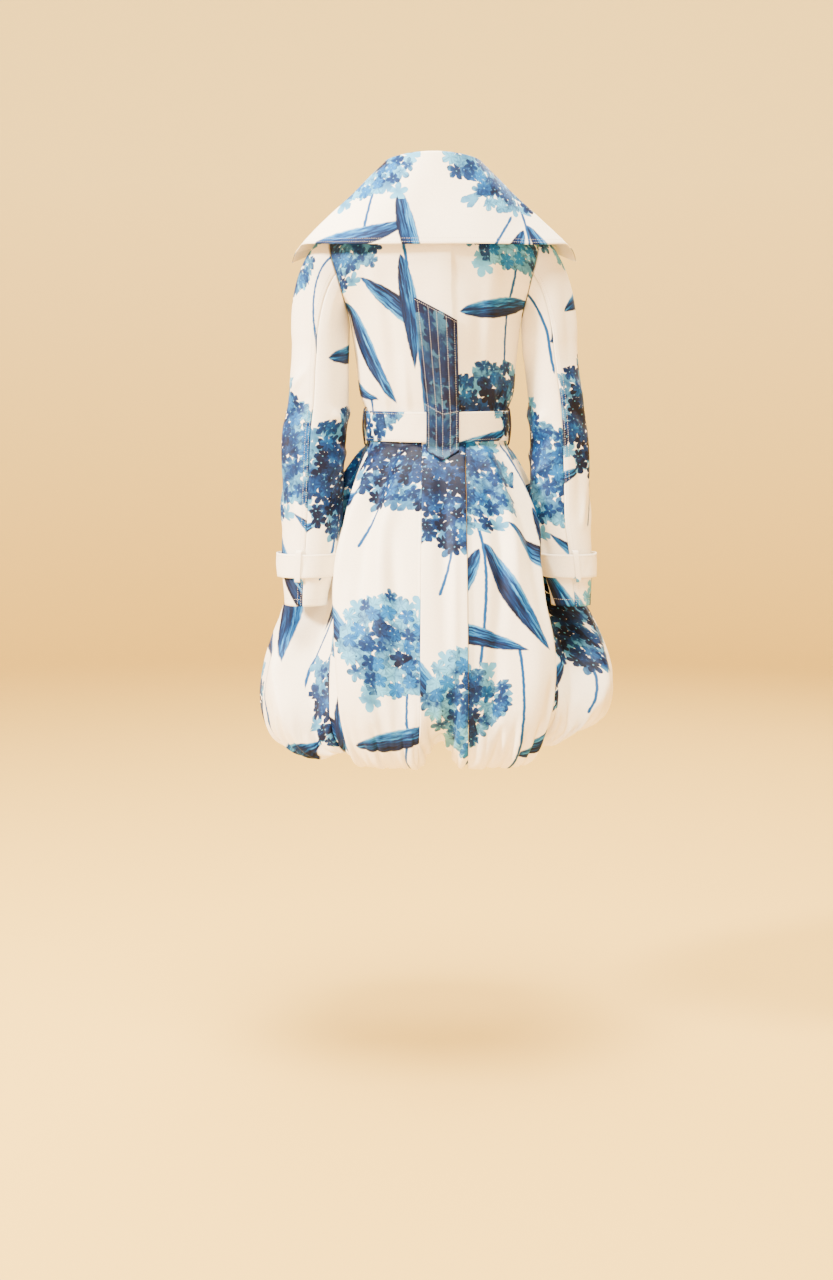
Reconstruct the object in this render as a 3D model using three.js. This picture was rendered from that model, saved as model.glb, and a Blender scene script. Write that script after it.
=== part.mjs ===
import * as THREE from "three";
import { mergeVertices } from "three/addons/utils/BufferGeometryUtils.js";

// Shirt dress as it hangs on a wearer: millimetres, +Z up, front towards -Y, wearer's left at +X.
// The origin lies between the two shoulders, level with the top of the shoulder seams at the neck.

// Cloth and trim sizes
const CLOTH = 1.2;
const TRIM = 2.2;
const SEAM_GAP = 0.3;
const ARMHOLE_GAP = 0.8;
const LAP_OFFSET = 2.2;
const LAP_REACH = 17;
const LAP_SHARE = 0.085;

// Neck and shoulders
const NECK = { half: 72, back: 62, front: 88, nape: -12, side: -30, throat: -84, share: 0.4 };
const SHOULDER = { half: 183, z: -88, hollow: 4 };
const LEAN = { top: 7, from: -420, height: 420 };

// Waist, belt and tab
const BELT = { top: -393, bottom: -445, half: 126.4, back: 94.2, front: 100 };
const TAB = { topLeft: -199, topRight: -238, widest: 36.5, waist: 28.5, shift: 4, sway: -13 };
const TAB_END = { shoulder: -459, point: -475 };

const DEG = Math.PI / 180;
const mix = (a, b, t) => a + (b - a) * t;
const clamp01 = (t) => Math.min(1, Math.max(0, t));
const smooth = (t) => clamp01(t) * clamp01(t) * (3 - 2 * clamp01(t));
const leanAt = (z) => LEAN.top * smooth((z - LEAN.from) / LEAN.height);

// Reads a table by one column and blends the other columns between its rows
function readTable(table, key, value) {
  const rising = table[table.length - 1][key] > table[0][key];
  let k = 0;
  while (k < table.length - 2 && (rising ? value > table[k + 1][key] : value < table[k + 1][key])) k += 1;
  const p0 = table[Math.max(0, k - 1)];
  const p1 = table[k];
  const p2 = table[k + 1];
  const p3 = table[Math.min(table.length - 1, k + 2)];
  const t = clamp01((value - p1[key]) / (p2[key] - p1[key]));
  const out = {};
  for (const name of Object.keys(p1)) {
    if (typeof p1[name] !== "number") continue;
    out[name] = spline(p0[name], p1[name], p2[name], p3[name], t);
  }
  return out;
}

// Slope at a point of a table, level wherever the values turn or stand still
function slopeBetween(before, after) {
  if (before * after <= 0) return 0;
  const limit = 3 * Math.min(Math.abs(before), Math.abs(after));
  return Math.sign(before) * Math.min(Math.abs(before + after) / 2, limit);
}

function spline(a, b, c, d, t) {
  const m1 = slopeBetween(b - a, c - b);
  const m2 = slopeBetween(c - b, d - c);
  const t2 = t * t;
  const t3 = t2 * t;
  return (2 * t3 - 3 * t2 + 1) * b + (t3 - 2 * t2 + t) * m1 + (3 * t2 - 2 * t3) * c + (t3 - t2) * m2;
}

// A grid of points: rows run down the cloth, columns run anticlockwise seen from above
function makeGrid(rowCount, columnCount, pointAt) {
  const rows = [];
  for (let i = 0; i <= rowCount; i += 1) {
    const row = [];
    for (let j = 0; j <= columnCount; j += 1) row.push(pointAt(i / rowCount, j / columnCount, i, j));
    rows.push(row);
  }
  return rows;
}

function gridNormals(rows, ring) {
  const last = rows[0].length - 1;
  return rows.map((row, i) => row.map((point, j) => {
    const up = rows[Math.max(0, i - 1)][j];
    const down = rows[Math.min(rows.length - 1, i + 1)][j];
    const before = ring && j === 0 ? row[last - 1] : row[Math.max(0, j - 1)];
    const after = ring && j === last ? row[1] : row[Math.min(last, j + 1)];
    const along = after.clone().sub(before);
    return down.clone().sub(up).cross(along).normalize();
  }));
}

// Moves a grid out along its normals by a distance that may change from point to point
function moveOut(rows, distanceAt) {
  const normals = gridNormals(rows, false);
  return rows.map((row, i) => row.map((p, j) => {
    const normal = normals[i][j];
    if (i === 0 || i === rows.length - 1) normal.setZ(0).normalize();
    return p.clone().addScaledVector(normal, distanceAt(p));
  }));
}

// One closed wall: the outer grid, the same grid moved inwards, and strips that close its edges.
// flat names the direction in which an edge's face must not lean: top, bottom, start or end.
function wall(rows, thickness, flat = {}, ring = false) {
  const normals = gridNormals(rows, ring);
  const lastRow = rows.length - 1;
  const lastColumn = rows[0].length - 1;
  const positions = [];
  const inner = rows.map((row, i) => row.map((point, j) => {
    const offset = normals[i][j].clone();
    const axes = [];
    if (i === 0 && flat.top) axes.push(flat.top);
    if (i === lastRow && flat.bottom) axes.push(flat.bottom);
    if (j === 0 && flat.start) axes.push(flat.start);
    if (j === lastColumn && flat.end) axes.push(flat.end);
    for (const axis of axes) {
      const direction = typeof axis === "function" ? axis(point) : axis;
      offset.addScaledVector(direction, -offset.dot(direction));
      offset.normalize();
    }
    return point.clone().addScaledVector(offset, -thickness);
  }));
  const quad = (a, b, c, d) => {
    for (const p of [a, b, c, a, c, d]) positions.push(p.x, p.y, p.z);
  };
  for (let i = 0; i < lastRow; i += 1) {
    for (let j = 0; j < lastColumn; j += 1) {
      const rising = rows[i + 1][j].distanceTo(rows[i][j + 1]);
      const falling = rows[i][j].distanceTo(rows[i + 1][j + 1]) <= rising;
      for (const [a, side] of [[rows, 1], [inner, -1]]) {
        const loop = [a[i][j], a[i + 1][j], a[i + 1][j + 1], a[i][j + 1]];
        if (side < 0) loop.reverse();
        if (falling === side > 0) quad(...loop);
        else quad(loop[1], loop[2], loop[3], loop[0]);
      }
    }
  }
  for (let j = 0; j < lastColumn; j += 1) {
    quad(rows[0][j], rows[0][j + 1], inner[0][j + 1], inner[0][j]);
    quad(rows[lastRow][j + 1], rows[lastRow][j], inner[lastRow][j], inner[lastRow][j + 1]);
  }
  if (!ring) {
    for (let i = 0; i < lastRow; i += 1) {
      quad(rows[i + 1][0], rows[i][0], inner[i][0], inner[i + 1][0]);
      quad(rows[i][lastColumn], rows[i + 1][lastColumn], inner[i + 1][lastColumn], inner[i][lastColumn]);
    }
  }
  return closedGeometry(positions);
}

function closedGeometry(positions) {
  const raw = new THREE.BufferGeometry();
  raw.setAttribute("position", new THREE.Float32BufferAttribute(positions, 3));
  const merged = mergeVertices(raw, 1e-4);
  merged.computeVertexNormals();
  return merged;
}

const vec = (x, y, z) => new THREE.Vector3(x, y, z);
const mirrorGrid = (rows) => rows.map((row) => row.map((p) => vec(-p.x, p.y, p.z)).reverse());
const leanGrid = (rows) => rows.map((row) => row.map((p) => vec(p.x + leanAt(p.z), p.y, p.z)));

const X_AXIS = new THREE.Vector3(1, 0, 0);
const Y_AXIS = new THREE.Vector3(0, 1, 0);
const Z_AXIS = new THREE.Vector3(0, 0, 1);
const aroundZ = (p) => new THREE.Vector3(-p.y, p.x, 0).normalize();

const dress = new THREE.Group();
const ivory = { color: 0xf3e6cf, roughness: 0.55 };
const deepBlue = { color: 0x24406e, roughness: 0.55 };
const horn = { color: 0xe9dcc3, roughness: 0.35 };

function add(name, geometry, look) {
  const material = new THREE.MeshStandardMaterial({ ...look, metalness: 0 });
  const mesh = new THREE.Mesh(geometry, material);
  mesh.name = name;
  dress.add(mesh);
}

// Neckline and shoulder seam: across runs from 0 at the centre to 1 at the shoulder point
function topEdge(across, front) {
  if (across <= NECK.share) {
    const turn = (across / NECK.share) * 90 * DEG;
    const drop = front ? NECK.throat : NECK.nape;
    const reach = front ? -NECK.front : NECK.back;
    const z = mix(NECK.side, drop, Math.pow(Math.cos(turn), front ? 1.3 : 2));
    return new THREE.Vector3(NECK.half * Math.sin(turn), reach * Math.cos(turn), z);
  }
  const along = (across - NECK.share) / (1 - NECK.share);
  const z = mix(NECK.side, SHOULDER.z, along) - SHOULDER.hollow * Math.sin(Math.PI * along);
  return new THREE.Vector3(mix(NECK.half, SHOULDER.half, along), 0, z);
}

// Levels of the bodice: the middle and side of each level line, and how far the line turns forward
const backLevels = [
  { at: 0.2, half: 179, sideY: 36, midY: 90, midZ: -70, sideZ: -124, turn: 62 },
  { at: 0.38, half: 164, sideY: 47, midY: 106, midZ: -145, sideZ: -178, turn: 66 },
  { at: 0.56, half: 149, sideY: 0.2, midY: 108, midZ: -232, sideZ: -243, turn: 90 },
  { at: 0.72, half: 141, sideY: 0.2, midY: 102, midZ: -305, sideZ: -305, turn: 90 },
  { at: 0.85, half: 136, sideY: 0.2, midY: 97, midZ: -360, sideZ: -360, turn: 90 },
  { at: 0.93, half: 126, sideY: 0.2, midY: 92, midZ: -390, sideZ: -390, turn: 90 },
  { at: 1, half: 122.5, sideY: 0.2, midY: 89, midZ: -419.8, sideZ: -419.8, turn: 90 },
];
const frontLevels = [
  { at: 0.2, half: 177, sideY: -40, midY: -104, midZ: -120, sideZ: -124, turn: 64 },
  { at: 0.38, half: 160, sideY: -52, midY: -124, midZ: -172, sideZ: -178, turn: 68 },
  { at: 0.56, half: 149, sideY: -0.2, midY: -134, midZ: -232, sideZ: -243, turn: 90 },
  { at: 0.72, half: 141, sideY: -0.2, midY: -118, midZ: -305, sideZ: -305, turn: 90 },
  { at: 0.85, half: 136, sideY: -0.2, midY: -104, midZ: -360, sideZ: -360, turn: 90 },
  { at: 0.93, half: 126, sideY: -0.2, midY: -96, midZ: -390, sideZ: -390, turn: 90 },
  { at: 1, half: 122.5, sideY: -0.2, midY: -93, midZ: -419.8, sideZ: -419.8, turn: 90 },
];

function levelPoint(level, across) {
  const turn = level.turn * DEG;
  const x = (level.half * Math.sin(turn * across)) / Math.sin(turn);
  const share = (Math.cos(turn * across) - Math.cos(turn)) / (1 - Math.cos(turn));
  const z = mix(level.midZ, level.sideZ, across * across);
  return new THREE.Vector3(x, mix(level.sideY, level.midY, share), z);
}

function bodicePoint(levels, down, across, front) {
  const edge = topEdge(across, front);
  edge.y += front ? -SEAM_GAP / 2 : SEAM_GAP / 2;
  const lines = [{ at: 0, x: edge.x, y: edge.y, z: edge.z }];
  for (const level of levels) {
    const p = levelPoint(level, across);
    lines.push({ at: level.at, x: p.x, y: p.y, z: p.z });
  }
  const p = readTable(lines, "at", down);
  return new THREE.Vector3(p.x, p.y, p.z);
}

const BODICE_ROWS = [0, 0.04, 0.1, 0.2, 0.29, 0.38, 0.47, 0.56, 0.64, 0.72, 0.79, 0.85, 0.89, 0.93, 1];
const BACK_COLUMNS = [1, 0.92, 0.82, 0.7, 0.55, 0.4, 0.3, 0.2, 0.1, 0];
const PLEAT = { x: -31, step: 2.4, ramp: 5, fade: 70 };

// Back bodice, with the edge of its centre pleat as a small step
const backAcross = [...BACK_COLUMNS, ...BACK_COLUMNS.slice(0, -1).reverse().map((a) => -a)];
const backRows = BODICE_ROWS.map((down) => backAcross.map((across) => {
  const p = bodicePoint(backLevels, down, Math.abs(across), false);
  p.x *= Math.sign(across) || 1;
  const step = smooth((p.x - PLEAT.x) / PLEAT.ramp) * smooth(1 - (p.x - PLEAT.x) / PLEAT.fade);
  p.y += PLEAT.step * step * smooth(down / 0.2) * smooth((1 - down) / 0.1);
  return p;
}));
const backGrid = leanGrid(backRows);
const backFlat = { top: Y_AXIS, bottom: Z_AXIS, start: Y_AXIS, end: Y_AXIS };
add("bodice_back", wall(backGrid, CLOTH, backFlat), ivory);

// Front bodice panels: both reach past the middle, and the wearer's right lies over the left
const FRONT_COLUMNS = [1, 0.92, 0.82, 0.7, 0.55, 0.4, 0.28, 0.17, LAP_SHARE, 0];
function frontPanel() {
  return BODICE_ROWS.map((down) => {
    const row = FRONT_COLUMNS.map((across) => bodicePoint(frontLevels, down, across, true));
    const past = bodicePoint(frontLevels, down, LAP_SHARE, true);
    row.push(new THREE.Vector3(-past.x, past.y, past.z));
    return row.reverse();
  });
}
const lapOut = (p) => LAP_OFFSET * smooth((p.x + 50) / 22);
const leftFront = leanGrid(frontPanel());
const frontFlat = { top: Y_AXIS, bottom: Z_AXIS, end: Y_AXIS };
add("bodice_front_left", wall(leftFront, CLOTH, frontFlat), ivory);
const rightBase = mirrorGrid(frontPanel());
const rightFront = leanGrid(moveOut(rightBase, lapOut));
const rightFlat = { top: Y_AXIS, bottom: Z_AXIS, start: Y_AXIS };
add("bodice_front_right", wall(rightFront, CLOTH, rightFlat), ivory);

// Collar: around runs from 1 at the left end over 0 at the back to -1 at the right end
const ROLL = { half: 82, back: 75, front: 82, top: 46, side: 37, end: -50, reach: 0.965 };
const ROLL_WIDTH = 3.2;
const STAND_DROP = 10;

function neckSeam(around) {
  const turn = Math.abs(around) * 180 * ROLL.reach * DEG;
  const sine = Math.sin(turn) * Math.sign(around || 1);
  const cosine = Math.cos(turn);
  const y = cosine * (cosine > 0 ? NECK.back : NECK.front);
  const z = cosine > 0
    ? mix(NECK.side, NECK.nape, cosine * cosine)
    : mix(NECK.side, NECK.throat, Math.pow(-cosine, 1.3));
  return new THREE.Vector3(NECK.half * sine, y, z + 1.2);
}

function rollLine(around) {
  const turn = Math.abs(around) * 180 * ROLL.reach * DEG;
  const cosine = Math.cos(turn);
  const y = cosine * (cosine > 0 ? ROLL.back : ROLL.front);
  const z = cosine > 0
    ? mix(ROLL.side, ROLL.top, cosine * cosine)
    : mix(ROLL.side, ROLL.end, Math.pow(-cosine, 1.2));
  return new THREE.Vector3(ROLL.half * Math.sin(turn) * Math.sign(around || 1), y, z);
}

function inwards(point) {
  return new THREE.Vector3(-point.x, -point.y, 0).normalize();
}

const collarEdge = [
  { around: 0, x: 0, y: 119, z: -111 },
  { around: 0.14, x: 52, y: 120, z: -111 },
  { around: 0.28, x: 114, y: 113, z: -110 },
  { around: 0.4, x: 168, y: 90, z: -109 },
  { around: 0.52, x: 221, y: 50, z: -107 },
  { around: 0.7, x: 236, y: 22, z: -112 },
  { around: 0.86, x: 245, y: -4, z: -121 },
  { around: 1, x: 251, y: -30, z: -132 },
];
const COLLAR_COLUMNS = 28;
const FALL_SHARES = [0.1, 0.28, 0.5, 0.75, 1];
const COLLAR_BOW = 7;

function collarColumn(around) {
  const roll = rollLine(around);
  const inside = inwards(roll);
  const edge = readTable(collarEdge, "around", Math.abs(around));
  const tip = new THREE.Vector3(edge.x * Math.sign(around || 1), edge.y, edge.z);
  const start = roll.clone().addScaledVector(inside, -ROLL_WIDTH).add(new THREE.Vector3(0, 0, -2));
  const column = [
    roll.clone().addScaledVector(inside, ROLL_WIDTH).add(new THREE.Vector3(0, 0, -STAND_DROP)),
    roll.clone().addScaledVector(inside, ROLL_WIDTH * 0.85).add(new THREE.Vector3(0, 0, -2.5)),
    roll.clone().add(new THREE.Vector3(0, 0, 1)),
    start,
  ];
  for (const share of FALL_SHARES) {
    const p = start.clone().lerp(tip, share);
    p.z += COLLAR_BOW * Math.sin(Math.PI * share);
    column.push(p);
  }
  return column;
}

const collarRows = [];
for (let j = 0; j <= COLLAR_COLUMNS; j += 1) {
  const around = 1 - (2 * j) / COLLAR_COLUMNS;
  collarColumn(around).forEach((p, i) => {
    collarRows[i] = collarRows[i] || [];
    collarRows[i].push(p);
  });
}
const collarGrid = leanGrid(collarRows);
add("collar", wall(collarGrid, CLOTH, { top: Z_AXIS }), ivory);

const standGrid = makeGrid(3, COLLAR_COLUMNS, (down, along) => {
  const around = 1 - 2 * along;
  const seam = neckSeam(around);
  const roll = rollLine(around);
  const top = roll.clone().addScaledVector(inwards(roll), ROLL_WIDTH);
  top.z -= STAND_DROP + SEAM_GAP;
  return top.lerp(seam, down);
});
const standOuter = leanGrid(standGrid);
add("collar_stand", wall(standOuter, CLOTH, { top: Z_AXIS, bottom: Z_AXIS }), ivory);

// Sleeves: the armhole, and the rings of the sleeve below it
const sleeveLeft = [
  { z: -268, x: 201, y: 2, wide: 49, deep: 52 },
  { z: -320, x: 205, y: 5, wide: 51, deep: 51 },
  { z: -373, x: 208, y: 9, wide: 53, deep: 51 },
  { z: -428, x: 214, y: 14, wide: 55.5, deep: 51 },
  { z: -510, x: 218, y: 25, wide: 53, deep: 49 },
  { z: -583, x: 221, y: 36, wide: 50.5, deep: 46 },
  { z: -660, x: 226, y: 50, wide: 47, deep: 43 },
  { z: -729, x: 230, y: 62, wide: 37.5, deep: 39 },
];
const sleeveRight = [
  { z: -268, x: 198, y: 2, wide: 47, deep: 52 },
  { z: -320, x: 203, y: 5, wide: 47.5, deep: 51 },
  { z: -373, x: 209, y: 9, wide: 48.5, deep: 50 },
  { z: -428, x: 213, y: 14, wide: 49.5, deep: 50 },
  { z: -510, x: 215, y: 25, wide: 51, deep: 48 },
  { z: -583, x: 217, y: 36, wide: 51.5, deep: 46 },
  { z: -660, x: 228, y: 50, wide: 44, deep: 42 },
  { z: -729, x: 235, y: 62, wide: 35, deep: 38 },
];
const CAP_ROWS = 4;
const ARM_ROWS = 8;
const HALF_COLUMNS = 9;
const SLEEVE_SEAM = { back: 84, front: -96 };

// The armhole as both panels leave it, by the angle from the shoulder point round the back
function armhole(angle) {
  const height = (1 + Math.cos(angle)) / 2;
  const front = Math.sin(angle) < 0;
  const levels = front ? frontLevels : backLevels;
  let low = 0;
  let high = 0.56;
  const wanted = mix(-243, SHOULDER.z, height);
  for (let step = 0; step < 24; step += 1) {
    const middle = (low + high) / 2;
    if (bodicePoint(levels, middle, 1, front).z > wanted) low = middle;
    else high = middle;
  }
  return bodicePoint(levels, (low + high) / 2, 1, front);
}

function sleevePoint(table, row, angle) {
  const first = table[0];
  const ringAt = (ring) => new THREE.Vector3(
    ring.x + ring.wide * Math.cos(angle),
    ring.y + ring.deep * Math.sin(angle),
    ring.z,
  );
  if (row > CAP_ROWS) {
    const z = mix(first.z, table[table.length - 1].z, (row - CAP_ROWS) / ARM_ROWS);
    return ringAt(readTable(table, "z", z));
  }
  const seam = armhole(angle);
  seam.x += ARMHOLE_GAP;
  const ring = ringAt(first);
  ring.z += 10 * Math.cos(angle);
  const outside = (1 + Math.cos(angle)) / 2;
  const corner = new THREE.Vector3(
    mix(seam.x, ring.x, mix(0.6, 0.8, outside)),
    mix(seam.y, ring.y, 0.6),
    mix(seam.z, ring.z, mix(0.5, 0.12, outside)),
  );
  const t = row / CAP_ROWS;
  return seam.lerp(corner, t).lerp(corner.clone().lerp(ring, t), t);
}

function sleeveHalf(table, from, to) {
  return makeGrid(CAP_ROWS + ARM_ROWS, HALF_COLUMNS, (down, along, row) => {
    const gap = (SEAM_GAP * 0.6) / table[0].deep;
    const angle = mix(from * DEG + gap, to * DEG - gap, along);
    return sleevePoint(table, row, angle);
  });
}

const sleeveSides = [
  { side: "left", table: sleeveLeft, flip: false },
  { side: "right", table: sleeveRight, flip: true },
];
const sleeveFlat = { start: X_AXIS, end: X_AXIS, bottom: Z_AXIS };
for (const { side, table, flip } of sleeveSides) {
  const halves = [
    { half: "top", rows: sleeveHalf(table, SLEEVE_SEAM.front, SLEEVE_SEAM.back) },
    { half: "under", rows: sleeveHalf(table, SLEEVE_SEAM.back, SLEEVE_SEAM.front + 360) },
  ];
  for (const { half, rows } of halves) {
    const placed = leanGrid(flip ? mirrorGrid(rows) : rows);
    add(`sleeve_${side}_${half}`, wall(placed, CLOTH, sleeveFlat), ivory);
  }
}

// Skirt: a ring for each level, down to the hem and up inside it where the hem is turned under
const skirtLevels = [
  { z: -420.2, half: 122.5, back: 89, front: 93, square: 2 },
  { z: -447, half: 123.6, back: 91, front: 96, square: 2 },
  { z: -472, half: 142, back: 108, front: 112, square: 2.1 },
  { z: -520, half: 172, back: 138, front: 138, square: 2.2 },
  { z: -583, half: 204, back: 168, front: 166, square: 2.25 },
  { z: -650, half: 236, back: 198, front: 194, square: 2.25 },
  { z: -725, half: 264, back: 224, front: 218, square: 2.25 },
  { z: -800, half: 289, back: 244, front: 236, square: 2.25 },
  { z: -862, half: 306, back: 257, front: 248, square: 2.25 },
  { z: -912, half: 313, back: 263, front: 254, square: 2.25 },
  { z: -950, half: 309, back: 259, front: 250, square: 2.25 },
  { z: -980, half: 293, back: 243, front: 235, square: 2.25 },
  { z: -993, half: 268, back: 221, front: 214, square: 2.25 },
  { z: -985, half: 247, back: 202, front: 196, square: 2.2 },
  { z: -961, half: 236, back: 192, front: 186, square: 2.2 },
];

// The same levels again: angle, spread and depth of the two side folds, and how far the hem puffs
const skirtFolds = [
  { left: 12, right: 12, spread: 9, fold: 0, notch: 0, rise: 0, lift: 0 },
  { left: 12, right: 12, spread: 10, fold: 0.5, notch: 0, rise: 0, lift: 0 },
  { left: 12, right: 12, spread: 13, fold: 8, notch: 0, rise: 0, lift: 0 },
  { left: 12, right: 12, spread: 17, fold: 21, notch: 0, rise: 0, lift: 0 },
  { left: 12, right: 11, spread: 21, fold: 42, notch: 0, rise: 0, lift: 0 },
  { left: 17, right: 15, spread: 24, fold: 66, notch: 0, rise: 0, lift: 0 },
  { left: 23, right: 20, spread: 23, fold: 76, notch: 0, rise: 0, lift: 0 },
  { left: 32, right: 26, spread: 19, fold: 66, notch: 0, rise: 0.2, lift: 0 },
  { left: 38, right: 31, spread: 16, fold: 58, notch: 0.15, rise: 0.5, lift: 0 },
  { left: 42, right: 35, spread: 14, fold: 50, notch: 0.4, rise: 0.8, lift: 0.3 },
  { left: 44, right: 38, spread: 13, fold: 42, notch: 0.8, rise: 1, lift: 0.6 },
  { left: 45, right: 40, spread: 12, fold: 32, notch: 1, rise: 1, lift: 1 },
  { left: 45, right: 41, spread: 12, fold: 22, notch: 0.9, rise: 1, lift: 1 },
  { left: 45, right: 41, spread: 12, fold: 14, notch: 0.6, rise: 1, lift: 0.9 },
  { left: 45, right: 41, spread: 12, fold: 9, notch: 0.4, rise: 1, lift: 0.7 },
];
const skirtRings = skirtLevels.map((level, i) => ({ ...level, ...skirtFolds[i] }));
const RIGHT_RISE = { height: 27, from: 150, over: 100 };

// Notches between the puffs of the hem, by angle from the wearer's left round the back
const hemNotches = [
  { angle: 91, width: 11, depth: 26, lift: 34 },
  { angle: 205, width: 10, depth: 18, lift: 22 },
  { angle: 245, width: 9, depth: 16, lift: 18 },
  { angle: 295, width: 9, depth: 16, lift: 18 },
  { angle: 335, width: 10, depth: 18, lift: 22 },
];
const GATHERS = { count: 27, depth: 2.8 };
const BOX_PLEAT = { x: -10, half: 37, rise: 6, ramp: 5 };
const hump = (q) => (Math.abs(q) < 1 ? (1 - q * q) * (1 - q * q) : 0);
const groove = (q) => smooth((1 - Math.abs(q)) / 0.38);

function turnBetween(a, b) {
  let d = (a - b) % 360;
  if (d > 180) d -= 360;
  if (d < -180) d += 360;
  return d;
}

function skirtPoint(ring, angle) {
  const turn = angle * DEG;
  const cosine = Math.cos(turn);
  const sine = Math.sin(turn);
  const depth = sine > 0 ? ring.back : ring.front;
  const sideways = Math.pow(Math.abs(cosine) / ring.half, ring.square);
  const outwards = Math.pow(Math.abs(sine) / depth, ring.square);
  let radius = Math.pow(sideways + outwards, -1 / ring.square);
  radius -= ring.fold * groove(turnBetween(angle, ring.left) / ring.spread);
  radius -= ring.fold * groove(turnBetween(angle, 180 - ring.right) / ring.spread);
  const beyond = smooth((-cosine * radius - RIGHT_RISE.from) / RIGHT_RISE.over);
  let z = ring.z + RIGHT_RISE.height * ring.rise * beyond;
  const sideFold = hump(turnBetween(angle, ring.left) / ring.spread)
    + hump(turnBetween(angle, 180 - ring.right) / ring.spread);
  z += ring.lift * 16 * sideFold;
  for (const notch of hemNotches) {
    const share = hump(turnBetween(angle, notch.angle) / notch.width);
    radius -= notch.depth * ring.notch * share;
    z += notch.lift * ring.lift * share;
  }
  radius += GATHERS.depth * ring.lift * Math.cos(turn * GATHERS.count);
  if (sine > 0) {
    const x = radius * cosine - BOX_PLEAT.x;
    const edge = (BOX_PLEAT.half * (0.92 + radius / 1400) - Math.abs(x)) / BOX_PLEAT.ramp;
    radius += BOX_PLEAT.rise * smooth(edge + 0.5) * clamp01((-447 - ring.z) / 40) * (1 - ring.lift);
  }
  return new THREE.Vector3(radius * cosine, radius * sine, z);
}

const sideFrontSeam = 38;
const frontReach = (ring) => Math.asin(LAP_REACH / ring.front) / DEG;
// Angle of an edge of the box pleat: 1 for its edge on the wearer's left, -1 for the other
function pleatAngle(ring, side) {
  const x = BOX_PLEAT.x + side * BOX_PLEAT.half * (0.92 + ring.back / 1400);
  return Math.acos(x / ring.back) / DEG;
}
const SIDE_RIGHT = 180 + sideFrontSeam;
const SIDE_LEFT = 360 - sideFrontSeam;
const skirtPanels = [
  { name: "skirt_back_left", from: (r) => r.left, to: (r) => pleatAngle(r, 1), columns: 13 },
  { name: "skirt_back_pleat", from: (r) => pleatAngle(r, 1), to: (r) => pleatAngle(r, -1), columns: 10 },
  { name: "skirt_back_right", from: (r) => pleatAngle(r, -1), to: (r) => 180 - r.right, columns: 13 },
  { name: "skirt_side_right", from: (r) => 180 - r.right, to: () => SIDE_RIGHT, columns: 21 },
  { name: "skirt_front_right", from: () => SIDE_RIGHT, to: (r) => 270 + frontReach(r), columns: 16 },
  { name: "skirt_front_left", from: (r) => 270.5 - frontReach(r), to: () => SIDE_LEFT, columns: 16 },
  { name: "skirt_side_left", from: () => SIDE_LEFT - 360, to: (r) => r.left, columns: 21 },
];
const skirtGrids = {};
for (const panel of skirtPanels) {
  const base = skirtRings.map((ring) => {
    const row = [];
    const gap = (SEAM_GAP * 0.5) / (ring.half - ring.fold) / DEG;
    const low = panel.from(ring) + gap;
    const high = panel.to(ring) - gap;
    for (let j = 0; j <= panel.columns; j += 1) {
      row.push(skirtPoint(ring, mix(low, high, j / panel.columns)));
    }
    return row;
  });
  const over = panel.name === "skirt_front_right";
  const rows = over ? moveOut(base, (p) => LAP_OFFSET * smooth((p.x + 46) / 24)) : base;
  skirtGrids[panel.name] = rows;
  const flat = { top: Z_AXIS };
  if (panel.name !== "skirt_front_left") flat.start = aroundZ;
  if (!over) flat.end = aroundZ;
  add(panel.name, wall(rows, CLOTH, flat), ivory);
}

// Height of a panel's surface over the middle of the back, read from the panel's own points
function surfaceY(rows, x, z) {
  let best = -Infinity;
  for (let i = 0; i < rows.length - 1; i += 1) {
    for (let j = 0; j < rows[0].length - 1; j += 1) {
      const [a, b, c, d] = [rows[i][j], rows[i][j + 1], rows[i + 1][j], rows[i + 1][j + 1]];
      for (const [p, q, r] of [[a, b, c], [b, d, c]]) {
        const area = (q.x - p.x) * (r.z - p.z) - (r.x - p.x) * (q.z - p.z);
        if (Math.abs(area) < 1e-9) continue;
        const s = ((x - p.x) * (r.z - p.z) - (r.x - p.x) * (z - p.z)) / area;
        const t = ((q.x - p.x) * (z - p.z) - (x - p.x) * (q.z - p.z)) / area;
        if (s < -1e-6 || t < -1e-6 || s + t > 1 + 1e-6) continue;
        best = Math.max(best, p.y + s * (q.y - p.y) + t * (r.y - p.y));
      }
    }
  }
  return best;
}

// Belt: a band from the buckle once round the waist and on past its start, with the tail outside
const BELT_COLUMNS = 56;
const BELT_START = 262;
const BELT_LAP = 34;
const BELT_TAIL_OUT = 3.4;
function beltPoint(angle, grow, z) {
  const turn = angle * DEG;
  const depth = Math.sin(turn) > 0 ? BELT.back : BELT.front;
  return new THREE.Vector3((BELT.half + grow) * Math.cos(turn), (depth + grow) * Math.sin(turn), z);
}
const beltGrid = makeGrid(1, BELT_COLUMNS, (down, along) => {
  const angle = mix(BELT_START, BELT_START + 360 + BELT_LAP, along);
  const past = smooth((angle - BELT_START - 330) / 26);
  return beltPoint(angle, TRIM + BELT_TAIL_OUT * past, mix(BELT.top, BELT.bottom, down));
});
add("belt", wall(beltGrid, TRIM), ivory);

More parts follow.
